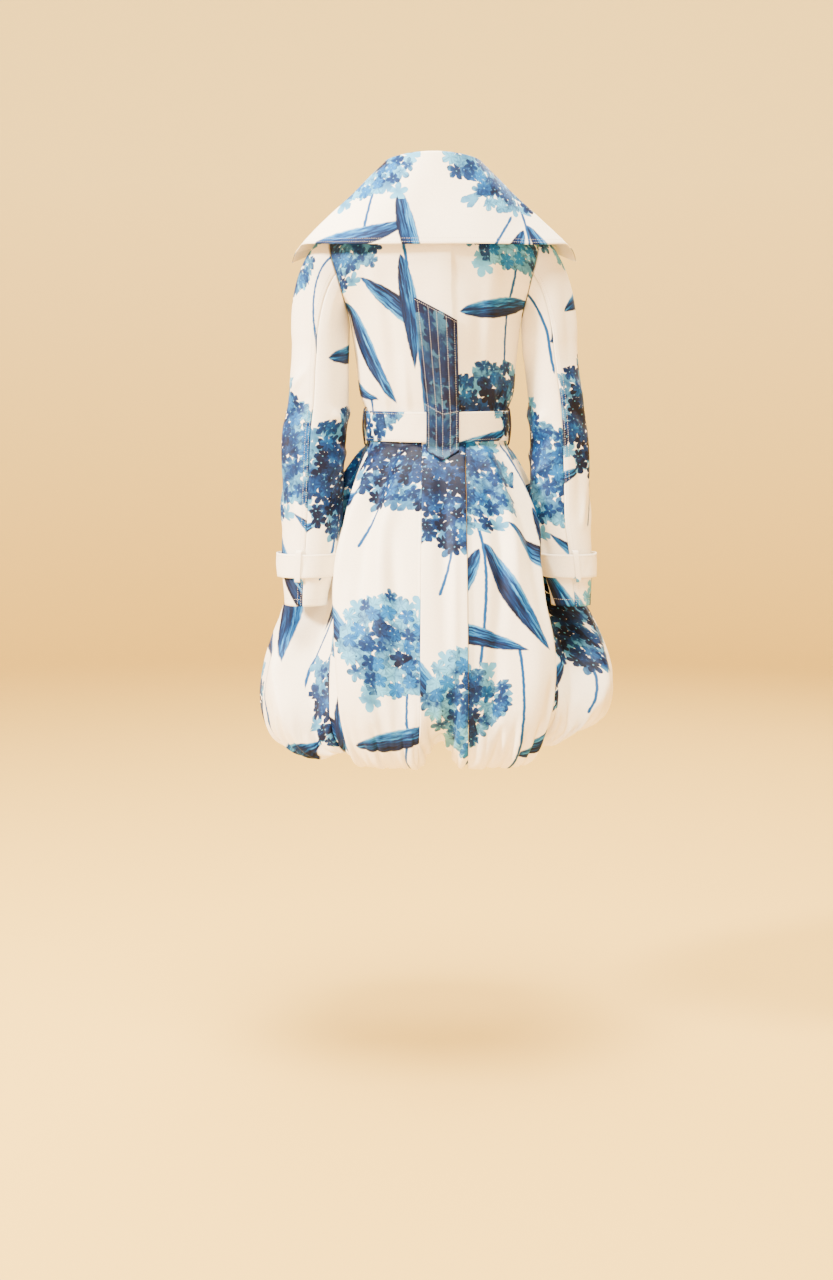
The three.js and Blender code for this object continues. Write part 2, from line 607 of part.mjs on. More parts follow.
// Covered buckle: a frame over the lapped ends of the belt
const BUCKLE = { width: 58, height: 68, rail: 6.5, bar: 6, thick: 2.6 };
function buckleFrame() {
  const outline = new THREE.Shape();
  const w = BUCKLE.width / 2;
  const h = BUCKLE.height / 2;
  outline.moveTo(-w, -h);
  outline.lineTo(w, -h);
  outline.lineTo(w, h);
  outline.lineTo(-w, h);
  outline.closePath();
  const hole = new THREE.Path();
  const iw = w - BUCKLE.bar;
  const ih = h - BUCKLE.rail;
  hole.moveTo(-iw, -ih);
  hole.lineTo(-iw, ih);
  hole.lineTo(iw, ih);
  hole.lineTo(iw, -ih);
  hole.closePath();
  outline.holes.push(hole);
  const frame = new THREE.ExtrudeGeometry(outline, { depth: BUCKLE.thick, bevelEnabled: false, steps: 1 });
  frame.deleteAttribute("normal");
  frame.deleteAttribute("uv");
  frame.rotateX(90 * DEG);
  return mergeVertices(frame, 1e-4);
}
// Bends the frame so that its back follows the front of the belt
const buckle = buckleFrame();
const buckleAt = buckle.attributes.position;
for (let k = 0; k < buckleAt.count; k += 1) {
  const x = buckleAt.getX(k);
  const over = TRIM + BELT_TAIL_OUT + 0.5;
  const seat = (BELT.front + over) * Math.sqrt(1 - (x / (BELT.half + over)) ** 2);
  buckleAt.setY(k, buckleAt.getY(k) - seat);
}
buckle.translate(0, 0, (BELT.top + BELT.bottom) / 2);
add("belt_buckle", buckle, ivory);

// Belt loops: thin upright strips that stand off the belt at the sides
const LOOP = { wide: 9, thick: 1.4, top: -386, bottom: -453 };
const loopShape = [
  { at: 0, z: LOOP.top, out: 1.6 },
  { at: 0.2, z: -388.5, out: 5.2 },
  { at: 0.5, z: -418, out: 8.2 },
  { at: 0.85, z: -448, out: 5.2 },
  { at: 1, z: LOOP.bottom, out: 2.3 },
];
const beltLoops = [
  { name: "belt_loop_left", angle: 14 },
  { name: "belt_loop_right", angle: 164 },
];
for (const loop of beltLoops) {
  const grid = makeGrid(8, 2, (down, along) => {
    const at = readTable(loopShape, "at", down);
    const centre = beltPoint(loop.angle, 0, 0);
    const angle = loop.angle + ((along - 0.5) * LOOP.wide) / centre.length() / DEG;
    return beltPoint(angle, at.out, at.z);
  });
  add(loop.name, wall(grid, LOOP.thick), ivory);
}

// Height of the back of the skirt, also where a point falls in the gap of a seam
const backPanels = ["skirt_back_left", "skirt_back_pleat", "skirt_back_right"].map((name) => skirtGrids[name]);
const skirtBackY = (x, z) => Math.max(...backPanels.flatMap((rows) => [
  surfaceY(rows, x - 0.4, z),
  surfaceY(rows, x + 0.4, z),
]));

// Back tab: a stitched strap with a slanted top, laid over the bodice, the belt and the skirt
const TAB_ROWS = 16;
const TAB_COLUMNS = 6;
const tabGrid = makeGrid(TAB_ROWS, TAB_COLUMNS, (down, along) => {
  const across = 1 - 2 * along;
  const top = mix(TAB.topLeft, TAB.topRight, along);
  const bottom = mix(TAB_END.point, TAB_END.shoulder, Math.abs(across));
  const z = mix(top, bottom, down);
  const share = clamp01((z - TAB.topLeft) / (BELT.top - TAB.topLeft));
  const x = TAB.shift + TAB.sway * share + across * mix(TAB.widest, TAB.waist, share);
  const under = [surfaceY(backGrid, x, z) + SEAM_GAP, skirtBackY(x, z) + SEAM_GAP];
  const beltY = (BELT.back + TRIM + SEAM_GAP) * Math.sqrt(1 - (x / BELT.half) ** 2) + 0.6;
  const near = smooth((z - BELT.bottom + 16) / 12) * smooth((BELT.top + 16 - z) / 12);
  under.push(mix(0, beltY, near));
  return new THREE.Vector3(x, Math.max(...under) + 1.3 + TRIM, z);
});
add("back_tab", wall(tabGrid, TRIM), deepBlue);

// Wrist straps: bands that stand a little proud of the sleeve and lap over at the front
const STRAP = { top: -639, bottom: -680, ease: 4.3, outward: 2.7, columns: 32, start: -130, lap: 40 };
function strapPoint(table, angle, grow, z) {
  const ring = readTable(table, "z", z);
  const turn = angle * DEG;
  return new THREE.Vector3(
    ring.x + STRAP.outward + (ring.wide + STRAP.ease + grow) * Math.cos(turn),
    ring.y + (ring.deep + STRAP.ease - 1.4 + grow) * Math.sin(turn),
    z,
  );
}
for (const { side, table, flip } of sleeveSides) {
  const rows = makeGrid(1, STRAP.columns, (down, along) => {
    const angle = mix(STRAP.start, STRAP.start + 360 + STRAP.lap, along);
    const past = smooth((angle - STRAP.start - 335) / 24);
    return strapPoint(table, angle, TRIM + 2.8 * past, mix(STRAP.top, STRAP.bottom, down));
  });
  add(`cuff_strap_${side}`, wall(flip ? mirrorGrid(rows) : rows, TRIM - 0.4), ivory);
  const keeperShape = [
    { at: 0, z: STRAP.top + 7, out: -1.2 },
    { at: 0.22, z: STRAP.top + 4, out: 3.4 },
    { at: 0.5, z: (STRAP.top + STRAP.bottom) / 2, out: 4.4 },
    { at: 0.78, z: STRAP.bottom - 4, out: 3.4 },
    { at: 1, z: STRAP.bottom - 7, out: -0.2 },
  ];
  const keeper = makeGrid(8, 2, (down, along) => {
    const at = readTable(keeperShape, "at", down);
    return strapPoint(table, SLEEVE_SEAM.back - 8 + (along - 0.5) * 11, at.out, at.z);
  });
  add(`cuff_keeper_${side}`, wall(flip ? mirrorGrid(keeper) : keeper, LOOP.thick), ivory);
}

// Buttons: flat discs with a raised rim, set on the panel they close
const BUTTON = { radius: 9.5, thick: 3.2, rim: 1.8, dish: 0.7, sides: 12 };
function buttonGeometry(scale) {
  const r = BUTTON.radius * scale;
  const profile = [
    new THREE.Vector2(0, 0),
    new THREE.Vector2(r, 0.5),
    new THREE.Vector2(r * 0.95, BUTTON.thick),
    new THREE.Vector2(r - BUTTON.rim, BUTTON.thick - BUTTON.dish),
    new THREE.Vector2(0, BUTTON.thick - BUTTON.dish),
  ];
  const disc = new THREE.LatheGeometry(profile, BUTTON.sides);
  disc.deleteAttribute("normal");
  disc.deleteAttribute("uv");
  return mergeVertices(disc, 1e-4);
}

function placeButton(name, point, normal, scale) {
  const disc = buttonGeometry(scale);
  const turn = new THREE.Quaternion().setFromUnitVectors(Y_AXIS, normal);
  disc.applyQuaternion(turn);
  disc.translate(point.x, point.y, point.z);
  add(name, disc, horn);
}

// Front edge of the closing, from the right front's own outer points
function closingPoint(rows, z) {
  let best = null;
  for (const row of rows) {
    for (const p of row) {
      const far = Math.abs(p.x) * 2 + Math.abs(p.z - z);
      if (!best || far < best.far) best = { far, p };
    }
  }
  return best.p;
}
const bodiceButtons = [-125, -215, -305];
const skirtButtons = [-520, -610, -705, -800];
[...bodiceButtons, ...skirtButtons].forEach((z, k) => {
  const rows = k < bodiceButtons.length ? rightFront : skirtGrids.skirt_front_right;
  const flatRows = rows.map((row) => row.map((p) => new THREE.Vector3(p.x, -p.y, p.z)));
  const x = leanAt(z);
  const y = (at) => -surfaceY(flatRows, x, at);
  const slope = (y(z + 8) - y(z - 8)) / 16;
  const normal = new THREE.Vector3(0, -1, slope).normalize();
  const reach = Math.max(...[-8, 0, 8].map((d) => surfaceY(flatRows, x, z + d) - slope * -d));
  const seat = new THREE.Vector3(x, -reach, z).addScaledVector(normal, 0.7);
  placeButton(`button_${k + 1}`, seat, normal, 1);
});
for (const { side, table, flip } of sleeveSides) {
  const angle = STRAP.start + 25;
  const z = (STRAP.top + STRAP.bottom) / 2;
  const p = strapPoint(table, angle, TRIM + 2.6, z);
  const ahead = strapPoint(table, angle + 2, TRIM + 2.6, z).sub(p);
  const below = strapPoint(table, angle, TRIM + 2.6, z - 4).sub(p);
  const normal = below.cross(ahead).normalize();
  if (flip) {
    p.x *= -1;
    normal.x *= -1;
  }
  placeButton(`cuff_button_${side}`, p, normal, 0.8);
}

export default dress;
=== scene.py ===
# %% [markdown]
# # A printed shirt dress with a cape collar and a bubble skirt
# The dress hangs as if worn, with nobody in it. The first lines load the solid model of the dress, which
# gives the place and size of every cut piece. All the cloth made below lies on that model.

# %% Load the solid model
import bpy
import numpy as np
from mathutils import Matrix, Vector


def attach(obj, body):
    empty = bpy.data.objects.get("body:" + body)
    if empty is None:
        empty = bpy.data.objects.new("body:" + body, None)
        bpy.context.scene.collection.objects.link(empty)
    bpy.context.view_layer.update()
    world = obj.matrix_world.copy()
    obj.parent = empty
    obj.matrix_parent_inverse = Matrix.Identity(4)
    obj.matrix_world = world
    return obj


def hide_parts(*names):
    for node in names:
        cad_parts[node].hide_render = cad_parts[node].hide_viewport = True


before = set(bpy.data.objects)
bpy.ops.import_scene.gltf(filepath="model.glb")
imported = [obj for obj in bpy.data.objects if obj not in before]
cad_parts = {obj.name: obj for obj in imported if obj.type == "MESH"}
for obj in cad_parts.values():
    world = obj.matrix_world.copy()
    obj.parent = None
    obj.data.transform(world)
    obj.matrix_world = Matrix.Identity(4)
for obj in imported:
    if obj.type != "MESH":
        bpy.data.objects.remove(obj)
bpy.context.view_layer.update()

# %% [markdown]
# ## Small tools for curves
# A garment is drawn from a few measured levels, such as neck, bust, waist and hip, and the cloth runs
# smoothly between them. `read_levels` blends a table of levels without swinging past any of them. The
# other three are the soft steps and humps that folds and pleats are made from.

# %% Blend between measured levels
def mix(a, b, t):
    return a + (b - a) * t


def smooth(t):
    """Soft step: 0 below 0, 1 above 1, and 3t squared minus 2t cubed between."""
    t = np.clip(t, 0, 1)
    return t * t * (3 - 2 * t)


def hump(q):
    """Soft hill: (1 minus q squared) squared inside one unit, 0 outside."""
    return np.where(np.abs(q) < 1, (1 - q * q) ** 2, 0)


def groove(q):
    """Flat-bottomed trough with soft sides, one unit to each side."""
    return smooth((1 - np.abs(q)) / 0.38)


def read_levels(where, values, wanted):
    """Cubic blend through the levels. The slope at a level is the mean of its two steps, and level where
    the steps turn round, so that the curve never swings past a measured value."""
    where, values, wanted = (np.asarray(x, float) for x in (where, values, wanted))
    if where[0] > where[-1]:
        where, wanted = -where, -wanted
    k = np.clip(np.searchsorted(where, wanted) - 1, 0, len(where) - 2)
    t = np.clip((wanted - where[k]) / (where[k + 1] - where[k]), 0, 1)
    t = t.reshape(t.shape + (1,) * (values.ndim - 1))
    step = np.diff(values, axis=0)
    mean = (step[:-1] + step[1:]) / 2
    most = 3 * np.minimum(np.abs(step[:-1]), np.abs(step[1:]))
    slope = np.zeros_like(values)
    slope[1:-1] = np.where(step[:-1] * step[1:] > 0, np.sign(mean) * np.minimum(np.abs(mean), most), 0)
    a, b, c, d = values[k], values[k + 1], slope[k], slope[k + 1]
    square, cube = t * t, t * t * t
    start, end = 2 * cube - 3 * square + 1, 3 * square - 2 * cube
    return start * a + (cube - 2 * square + t) * c + end * b + (cube - square) * d


print("halfway between 0 and 10:", read_levels([0, 1, 2], [0, 10, 10], [0.5]))

# %% [markdown]
# ## From a grid of points to a piece of cloth
# A cut piece could be sculpted by hand, but a grid is easier to measure and to change. Every piece is one:
# rows run down the cloth and columns run round the body, anticlockwise seen from above, all in
# millimetres. One function turns a grid into a mesh. The cloth is a single surface, and a Solidify
# modifier gives it its real thickness towards the inside, so the outer face stays where it was drawn.

# %% Normals, running lengths and creases of a grid
def grid_normals(grid):
    """Cross product of the step down and the step along, made one unit long: it points outwards."""
    normal = np.cross(np.gradient(grid, axis=0), np.gradient(grid, axis=1))
    return normal / np.maximum(np.linalg.norm(normal, axis=2, keepdims=True), 1e-9)


def move_out(grid, distance):
    """Along the normal, by a distance for each point."""
    return grid + grid_normals(grid) * np.asarray(distance)[..., None]


def move_level(grid, distance):
    """The same, but level: the normal without its height, made one unit long."""
    level = grid_normals(grid) * (1, 1, 0)
    return grid + level / np.linalg.norm(level, axis=2, keepdims=True) * distance[..., None]


def running_length(grid, axis):
    """Sum of the steps from the first row (axis 0) or the first column (axis 1) to each point."""
    first = grid[:1] if axis == 0 else grid[:, :1]
    return np.cumsum(np.linalg.norm(np.diff(grid, axis=axis, prepend=first), axis=2), axis=axis)


def lie_flat(grid):
    """Running length across each row from its middle, and down the middle column: the piece laid flat."""
    middle = grid.shape[1] // 2
    along = running_length(grid, 1)
    down = running_length(grid, 0)[:, middle:middle + 1]
    return along - along[:, middle:middle + 1], np.broadcast_to(down, along.shape)


def creases(across, down, table):
    """Each row is a line on the flat piece (from, to), its width and its height: a rounded ridge or, below
    0, a trough, highest at the middle of the line and fading towards both ends."""
    total = np.zeros_like(across)
    for u0, v0, u1, v1, width, height in table:
        long = (u1 - u0) ** 2 + (v1 - v0) ** 2
        t = np.clip(((across - u0) * (u1 - u0) + (down - v0) * (v1 - v0)) / long, 0, 1)
        far = np.hypot(across - mix(u0, u1, t), down - mix(v0, v1, t))
        total += height * (0.25 + 0.75 * np.sin(np.pi * t)) * np.exp(-(far / width) ** 2)
    return total


def dip_at_edges(grid, sides, depth=0.9, width=4):
    """Cloth is pulled down a little along a seam: a trough beside the named edges of the grid."""
    along, down = running_length(grid, 1), running_length(grid, 0)
    far = {"start": along, "end": along[:, -1:] - along, "top": down, "bottom": down[-1:] - down}
    return -depth * sum(np.exp(-(far[s] / width) ** 2) for s in sides)


# %% [markdown]
# The print is stamped on the flat cloth before it is cut, so each piece keeps its own flat layout as a
# UV map in metres of printed cloth. `cut_from` is the place on the cloth that the piece is cut from, and
# the pattern breaks at each seam because neighbours come from different places.

# %% Turn a grid into a piece of cloth
pieces = {}


def make_mesh(name, points, faces):
    """Mesh from points in millimetres."""
    mesh = bpy.data.meshes.new(name)
    mesh.from_pydata((np.reshape(points, (-1, 3)) / 1000).tolist(), [], faces)
    return mesh


def add_piece(name, mesh, stands_for=None):
    """Object at the origin that goes with the body of the dress and stands for a solid of the model."""
    piece = bpy.data.objects.new(name, mesh)
    bpy.context.scene.collection.objects.link(piece)
    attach(piece, "root")
    if stands_for:
        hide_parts(stands_for)
    pieces[name] = piece
    return piece


def set_layout(mesh, places):
    """Gives every corner of the mesh the place of its vertex on the flat cloth."""
    corner = np.empty(len(mesh.loops), dtype=np.int32)
    mesh.loops.foreach_get("vertex_index", corner)
    mesh.uv_layers.new(name="cloth").data.foreach_set("uv", places[corner].ravel())


def quads(index):
    """One face for each square of four neighbours in a table of vertex numbers."""
    return np.stack([index[:-1, :-1], index[1:, :-1], index[1:, 1:], index[:-1, 1:]], axis=-1).reshape(-1, 4)


def cloth_piece(name, grid, stands_for, cut_from, thick=1.2, turn=0):
    """Vertex k of row i is grid[i, k]; each face joins two neighbours in two rows."""
    rows, columns = grid.shape[:2]
    faces = quads(np.arange(rows * columns).reshape(rows, columns)).tolist()
    mesh = make_mesh(name, grid, faces)
    across, down = lie_flat(grid)
    c, s = np.cos(np.radians(turn)), np.sin(np.radians(turn))
    flat = np.stack([across * c + down * s, across * s - down * c], axis=-1).reshape(-1, 2)
    set_layout(mesh, flat / 1000 + cut_from)
    mesh.shade_smooth()
    piece = add_piece(name, mesh, stands_for)
    wall = piece.modifiers.new("cloth thickness", "SOLIDIFY")
    wall.thickness = thick / 1000
    wall.offset = -1
    wall.use_even_offset = False
    wall.material_offset = 1
    return piece


# %% [markdown]
# ## The bodice
# A shirt bodice is a back and two fronts. It could be cut flat and sewn with a cloth simulation, but the
# levels of the worn dress are known, so the shape is drawn straight from them. Each level line round the
# body says how far out the side is, where the middle of the back or front lies, and how high both are.
# Near the armhole the line stops early, at the `turn` angle, and below it the side seam is straight.

# %% Levels of the bodice
# Neckline: half width, reach to the back and front, and heights. The neck takes 0.4 of the top edge.
NECK_HALF, NECK_BACK, NECK_FRONT = 72, 62, 88
NAPE, NECK_SIDE, THROAT = -12, -30, -84
NECK_SHARE = 0.4
SHOULDER_HALF, SHOULDER_Z, SHOULDER_SAG = 183, -88, 4
SEAM_GAP = 0.15
UNDERARM_SHARE, UNDERARM_Z = 0.56, -243
WAIST_Z, LEAN = -420, 7
# share of the way down, half width, side y, middle y, middle z, side z, turn
back_levels = np.array([
    (0.2, 179, 36, 90, -70, -124, 62),
    (0.38, 164, 47, 106, -145, -178, 66),
    (0.56, 149, 0.2, 108, -232, -243, 90),
    (0.72, 141, 0.2, 102, -305, -305, 90),
    (0.85, 136, 0.2, 97, -360, -360, 90),
    (0.93, 126, 0.2, 92, -390, -390, 90),
    (1, 122.5, 0.2, 89, -419.8, -419.8, 90)])
front_levels = np.array([
    (0.2, 177, -40, -104, -120, -124, 64),
    (0.38, 160, -52, -124, -172, -178, 68),
    (0.56, 149, -0.2, -134, -232, -243, 90),
    (0.72, 141, -0.2, -118, -305, -305, 90),
    (0.85, 136, -0.2, -104, -360, -360, 90),
    (0.93, 126, -0.2, -96, -390, -390, 90),
    (1, 122.5, -0.2, -93, -419.8, -419.8, 90)])


def top_edge(across, front):
    """Neckline and shoulder seam: a quarter ellipse round the neck, then a straight line that sags 4 mm."""
    turn = across / NECK_SHARE * np.pi / 2
    cosine = np.cos(np.minimum(turn, np.pi / 2))
    neck_y = (-NECK_FRONT if front else NECK_BACK) * cosine
    neck_z = mix(NECK_SIDE, THROAT if front else NAPE, cosine ** (1.3 if front else 2))
    along = np.clip((across - NECK_SHARE) / (1 - NECK_SHARE), 0, 1)
    x = np.where(across <= NECK_SHARE, NECK_HALF * np.sin(turn), mix(NECK_HALF, SHOULDER_HALF, along))
    shoulder_z = mix(NECK_SIDE, SHOULDER_Z, along) - SHOULDER_SAG * np.sin(np.pi * along)
    z = np.where(across <= NECK_SHARE, neck_z, shoulder_z)
    y = np.where(across <= NECK_SHARE, neck_y, 0) + (-SEAM_GAP if front else SEAM_GAP)
    return np.stack([x, y, z], axis=-1)


def level_line(level, across):
    """Part of an ellipse: x follows the sine of the turned share and y its cosine."""
    _, half, side_y, mid_y, mid_z, side_z, turn = level
    turn = np.radians(turn)
    share = (np.cos(turn * across) - np.cos(turn)) / (1 - np.cos(turn))
    x = half * np.sin(turn * across) / np.sin(turn)
    return np.stack([x, mix(side_y, mid_y, share), mix(mid_z, side_z, across ** 2)], axis=-1)


def bodice_grid(levels, down, across, front):
    """Blend from the top edge through all the level lines; columns left of the middle are mirrored."""
    share = np.abs(across)
    lines = np.stack([top_edge(share, front)] + [level_line(level, share) for level in levels])
    grid = read_levels(np.concatenate([[0], levels[:, 0]]), lines, down)
    grid[..., 0] *= np.where(across < 0, -1, 1)
    return grid


def lean(grid):
    """The upper body leans 7 mm to its left, more the higher it is above the waist."""
    out = grid.copy()
    out[..., 0] += LEAN * smooth(1 - out[..., 2] / WAIST_Z)
    return out


# %% [markdown]
# The back has one pleat, whose folded edge runs straight down beside the middle from the collar to the
# tab. It is a step of 2.6 mm that dies away over 70 mm. The creases are the long soft folds that hang
# from the shoulder blades, and the short ones that gather above the belt.

# %% Back of the bodice
down = np.linspace(0, 1, 130)
across = np.linspace(1, -1, 150)
back = bodice_grid(back_levels, down, across, False)
PLEAT_X, PLEAT_STEP, PLEAT_FADE = -31, 2.6, 70
from_pleat = back[..., 0] - PLEAT_X
step = smooth(from_pleat / 1.6) * smooth(1 - from_pleat / PLEAT_FADE)
back[..., 1] += PLEAT_STEP * step * smooth(down / 0.2)[:, None] * smooth((1 - down) / 0.1)[:, None]
back = lean(back)
# Each crease: across and down from, across and down to, width, height
back_creases = [
    (-118, 130, -88, 330, 16, 2.6), (-88, 190, -70, 400, 13, -2.8), (104, 120, 84, 320, 18, 2.8),
    (80, 200, 62, 400, 12, -2.6), (-140, 60, -122, 170, 12, -2.2), (138, 60, 120, 180, 12, -2.2),
    (-60, 300, -52, 410, 7, 2.2), (-98, 320, -92, 408, 7, 2.4), (66, 310, 58, 408, 7, 2.0),
    (104, 330, 96, 410, 7, 2.4), (34, 250, 40, 390, 10, 1.6), (-128, 340, -110, 395, 8, -2.4),
    (128, 345, 112, 398, 8, -2.4), (-30, 120, -60, 210, 22, 1.4), (60, 60, 40, 190, 24, -1.4)]
BACK_CREASE = 1.8
flat_across, flat_down = lie_flat(back)
fold = creases(flat_across, flat_down, back_creases) * BACK_CREASE
back = move_out(back, fold + dip_at_edges(back, ("start", "end", "bottom")))
cloth_piece("back", back, "bodice_back", cut_from=(0.36, 0.62))

# %% [markdown]
# The two fronts reach 17 mm past the middle. The right one lies over the left, so it is moved out by the
# thickness of the cloth near the closing, and the buttons sit on it.

# %% Fronts of the bodice
LAP_SHARE = 0.085
front_across = np.linspace(-LAP_SHARE, 1, 84)
front_base = bodice_grid(front_levels, down, front_across, True)
front_creases = [
    (-20, 120, -30, 330, 16, 2.4), (20, 180, 8, 390, 12, -2.4), (52, 150, 34, 360, 14, 2.2),
    (70, 40, 56, 160, 13, -2.0), (-44, 300, -50, 395, 8, 2.0), (6, 320, 0, 396, 7, 2.0),
    (40, 320, 30, 396, 8, 2.0)]
mirrored_creases = [(-a, b, -c, *rest) for a, b, c, *rest in front_creases]
CLOSING_HALF, LAP_STEP = 26, 2.2


def crease_front(grid, table):
    """No crease within 26 mm of the middle, where the closing lies flat."""
    flat_across, flat_down = lie_flat(grid)
    fade = smooth((np.abs(grid[..., 0] - LEAN) - CLOSING_HALF) / 20)
    return move_out(grid, creases(flat_across, flat_down, table) * fade + dip_at_edges(grid, ("bottom",)))


left_front = crease_front(lean(front_base), front_creases)
cloth_piece("front_left", left_front, "bodice_front_left", cut_from=(1.02, 0.5))
right_base = (front_base * (-1, 1, 1))[:, ::-1]
right_base = move_level(right_base, LAP_STEP * smooth((right_base[..., 0] + 50) / 22))
right_front = crease_front(lean(right_base), mirrored_creases)
cloth_piece("front_right", right_front, "bodice_front_right", cut_from=(1.5, 0.2))

# %% [markdown]
# ## The cape collar
# The collar stands up from the neck seam, rolls over, and falls as a wide cape over the shoulders to two
# points in front. Each column is one line from the roll down to the outer edge, with a slight bow that
# the stiff doubled cloth keeps. `around` runs from 1 at the left point over 0 at the nape to -1.

# %% Roll line and outer edge of the collar
# around, x, y, z of the outer edge
collar_edge = np.array([
    (0, 0, 119, -111), (0.14, 52, 120, -111), (0.28, 114, 113, -110), (0.4, 168, 90, -109),
    (0.52, 221, 50, -107), (0.7, 236, 22, -112), (0.86, 245, -4, -121), (1, 251, -30, -132)])


def round_neck(around, half, back_y, front_y, z_side, z_back, z_front, bend):
    """Two half ellipses: turn is around times 174 degrees, and the height follows the cosine of it."""
    turn = np.abs(around) * np.radians(173.7)
    cosine = np.cos(turn)
    side = np.where(around < 0, -1, 1)
    y = cosine * np.where(cosine > 0, back_y, front_y)
    z = np.where(cosine > 0, mix(z_side, z_back, cosine ** 2), mix(z_side, z_front, np.abs(cosine) ** bend))
    return np.stack([half * np.sin(turn) * side, y, z], axis=-1)


around = np.linspace(1, -1, 230)
roll = round_neck(around, 82, 75, 82, 37, 46, -50, 1.2)
inside = roll * (-1, -1, 0)
inside /= np.linalg.norm(inside, axis=1, keepdims=True)
edge = read_levels(collar_edge[:, 0], collar_edge[:, 1:], np.abs(around))
edge[:, 0] *= np.where(around < 0, -1, 1)

# %% Collar
# How the cloth turns over the roll line: distance inwards and height above it
collar_turn = [(3.2, -10), (3.0, -5), (2.4, -1.6), (0, 1), (-2.4, -0.2), (-3.2, -2)]
COLLAR_BOW = 7
over_roll = np.stack([roll + inwards * inside + (0, 0, up) for inwards, up in collar_turn])
fall_share = np.linspace(0, 1, 62)[1:, None, None]
fall = mix(over_roll[-1], edge, fall_share) + (0, 0, COLLAR_BOW) * np.sin(np.pi * fall_share)
collar = lean(np.concatenate([over_roll, fall]))
collar_creases = [
    (-232, 40, -250, 150, 20, 3.2), (232, 40, 252, 150, 20, 3.0), (-150, 40, -176, 150, 26, -2.6),
    (150, 40, 178, 150, 26, -2.8), (-60, 30, -66, 168, 30, 1.6), (70, 40, 76, 168, 30, 1.4),
    (-300, 60, -330, 160, 16, -2.4), (300, 60, 330, 160, 16, -2.4), (-12, 60, -6, 150, 24, -1.2)]
flat_across, flat_down = lie_flat(collar)
# The outer 80 mm of the cape also wave a little, with 240 mm from one crest to the next
COLLAR_CREASE, WAVE_HEIGHT, WAVE_LENGTH = 1.5, 1.6, 38
wave = WAVE_HEIGHT * np.sin(flat_across / WAVE_LENGTH + 0.6) * smooth((flat_down - 90) / 80)
fold = creases(flat_across, flat_down, collar_creases) * COLLAR_CREASE + wave
collar = move_out(collar, fold * smooth((flat_down - 14) / 30))
cloth_piece("cape_collar", collar, "collar", cut_from=(0.62, 1.32))

# %% [markdown]
# The stand is the band between the neck seam and the roll, and it is hidden under the fall. It runs
# straight from one line to the other.

# %% Collar stand
seam = round_neck(around, 72, 62, 88, -30, -12, -84, 1.3) + (0, 0, 1.2)
stand_top = roll + 3.2 * inside - (0, 0, 10.3)
share = np.linspace(0, 1, 24)[:, None, None]
stand = lean(stand_top + (seam - stand_top) * share)
cloth_piece("collar_stand_band", stand, "collar_stand", cut_from=(0.2, 1.9))

# %% [markdown]
# ## Sleeves
# Each sleeve is cut in two: a top part and an under part, with a stitched seam at the back. The sleeve is
# a set of ellipses down the arm. Its cap swings from the armhole out over the shoulder, which is a curve
# with one control point: from the armhole, past a corner, to the first ellipse.

# %% Rings of the sleeves
# z, x, y, half width, half depth
sleeve_left = np.array([
    (-268, 201, 2, 49, 52), (-320, 205, 5, 51, 51), (-373, 208, 9, 53, 51), (-428, 214, 14, 55.5, 51),
    (-510, 218, 25, 53, 49), (-583, 221, 36, 50.5, 46), (-660, 226, 50, 47, 43), (-729, 230, 62, 37.5, 39)])
sleeve_right = np.array([
    (-268, 198, 2, 47, 52), (-320, 203, 5, 47.5, 51), (-373, 209, 9, 48.5, 50), (-428, 213, 14, 49.5, 50),
    (-510, 215, 25, 51, 48), (-583, 217, 36, 51.5, 46), (-660, 228, 50, 44, 42), (-729, 235, 62, 35, 38)])
# Angles of the seams round the arm; the shoulder is 10 mm higher outside than inside
BACK_SEAM, FRONT_SEAM = 84, -96
SHOULDER_RISE = 10


def armhole(angle):
    """Point of the bodice's side edge at the height that the angle asks for, back or front."""
    wanted = mix(UNDERARM_Z, SHOULDER_Z, (1 + np.cos(angle)) / 2)
    points = []
    for levels, front in ((back_levels, False), (front_levels, True)):
        side = bodice_grid(levels, np.linspace(0, UNDERARM_SHARE, 400), np.array([1.0]), front)[:, 0]
        points.append(np.stack([np.interp(-wanted, -side[:, 2], side[:, k]) for k in range(3)], axis=-1))
    return np.where(np.sin(angle)[:, None] < 0, points[1], points[0])


def sleeve_grid(rings, first, last, cap_rows=30, arm_rows=120, columns=64):
    """Cap: a quadratic curve from armhole by corner to ring. Arm: ellipses blended down the sleeve."""
    gap = 0.18 / rings[0, 4]
    angle = np.linspace(np.radians(first) + gap, np.radians(last) - gap, columns)
    c, s = np.cos(angle), np.sin(angle)
    z, x, y, wide, deep = rings[0]
    ring = np.stack([x + wide * c, y + deep * s, z + SHOULDER_RISE * c], axis=-1)
    seam = armhole(angle) + (0.8, 0, 0)
    outside = (1 + c) / 2
    reach = np.stack([mix(0.6, 0.8, outside), np.full_like(c, 0.6), mix(0.5, 0.12, outside)], axis=-1)
    corner = mix(seam, ring, reach)
    t = np.linspace(0, 1, cap_rows)[:, None, None]
    cap = mix(mix(seam, corner, t), mix(corner, ring, t), t)
    heights = np.linspace(z, rings[-1, 0], arm_rows + 1)[1:]
    table = read_levels(rings[:, 0], rings, heights)[..., None]
    raised = heights[:, None] + SHOULDER_RISE * c * np.clip(1 - (z - heights[:, None]) / 40, 0, 1)
    arm = np.stack([table[:, 1] + table[:, 3] * c, table[:, 2] + table[:, 4] * s, raised], axis=-1)
    return np.concatenate([cap, arm])


# %% [markdown]
# The cloth of a sleeve buckles where the arm bends, so short slanted creases gather round the elbow, and
# long shallow ones run down from the shoulder. The strap at the wrist draws the cloth in a little.

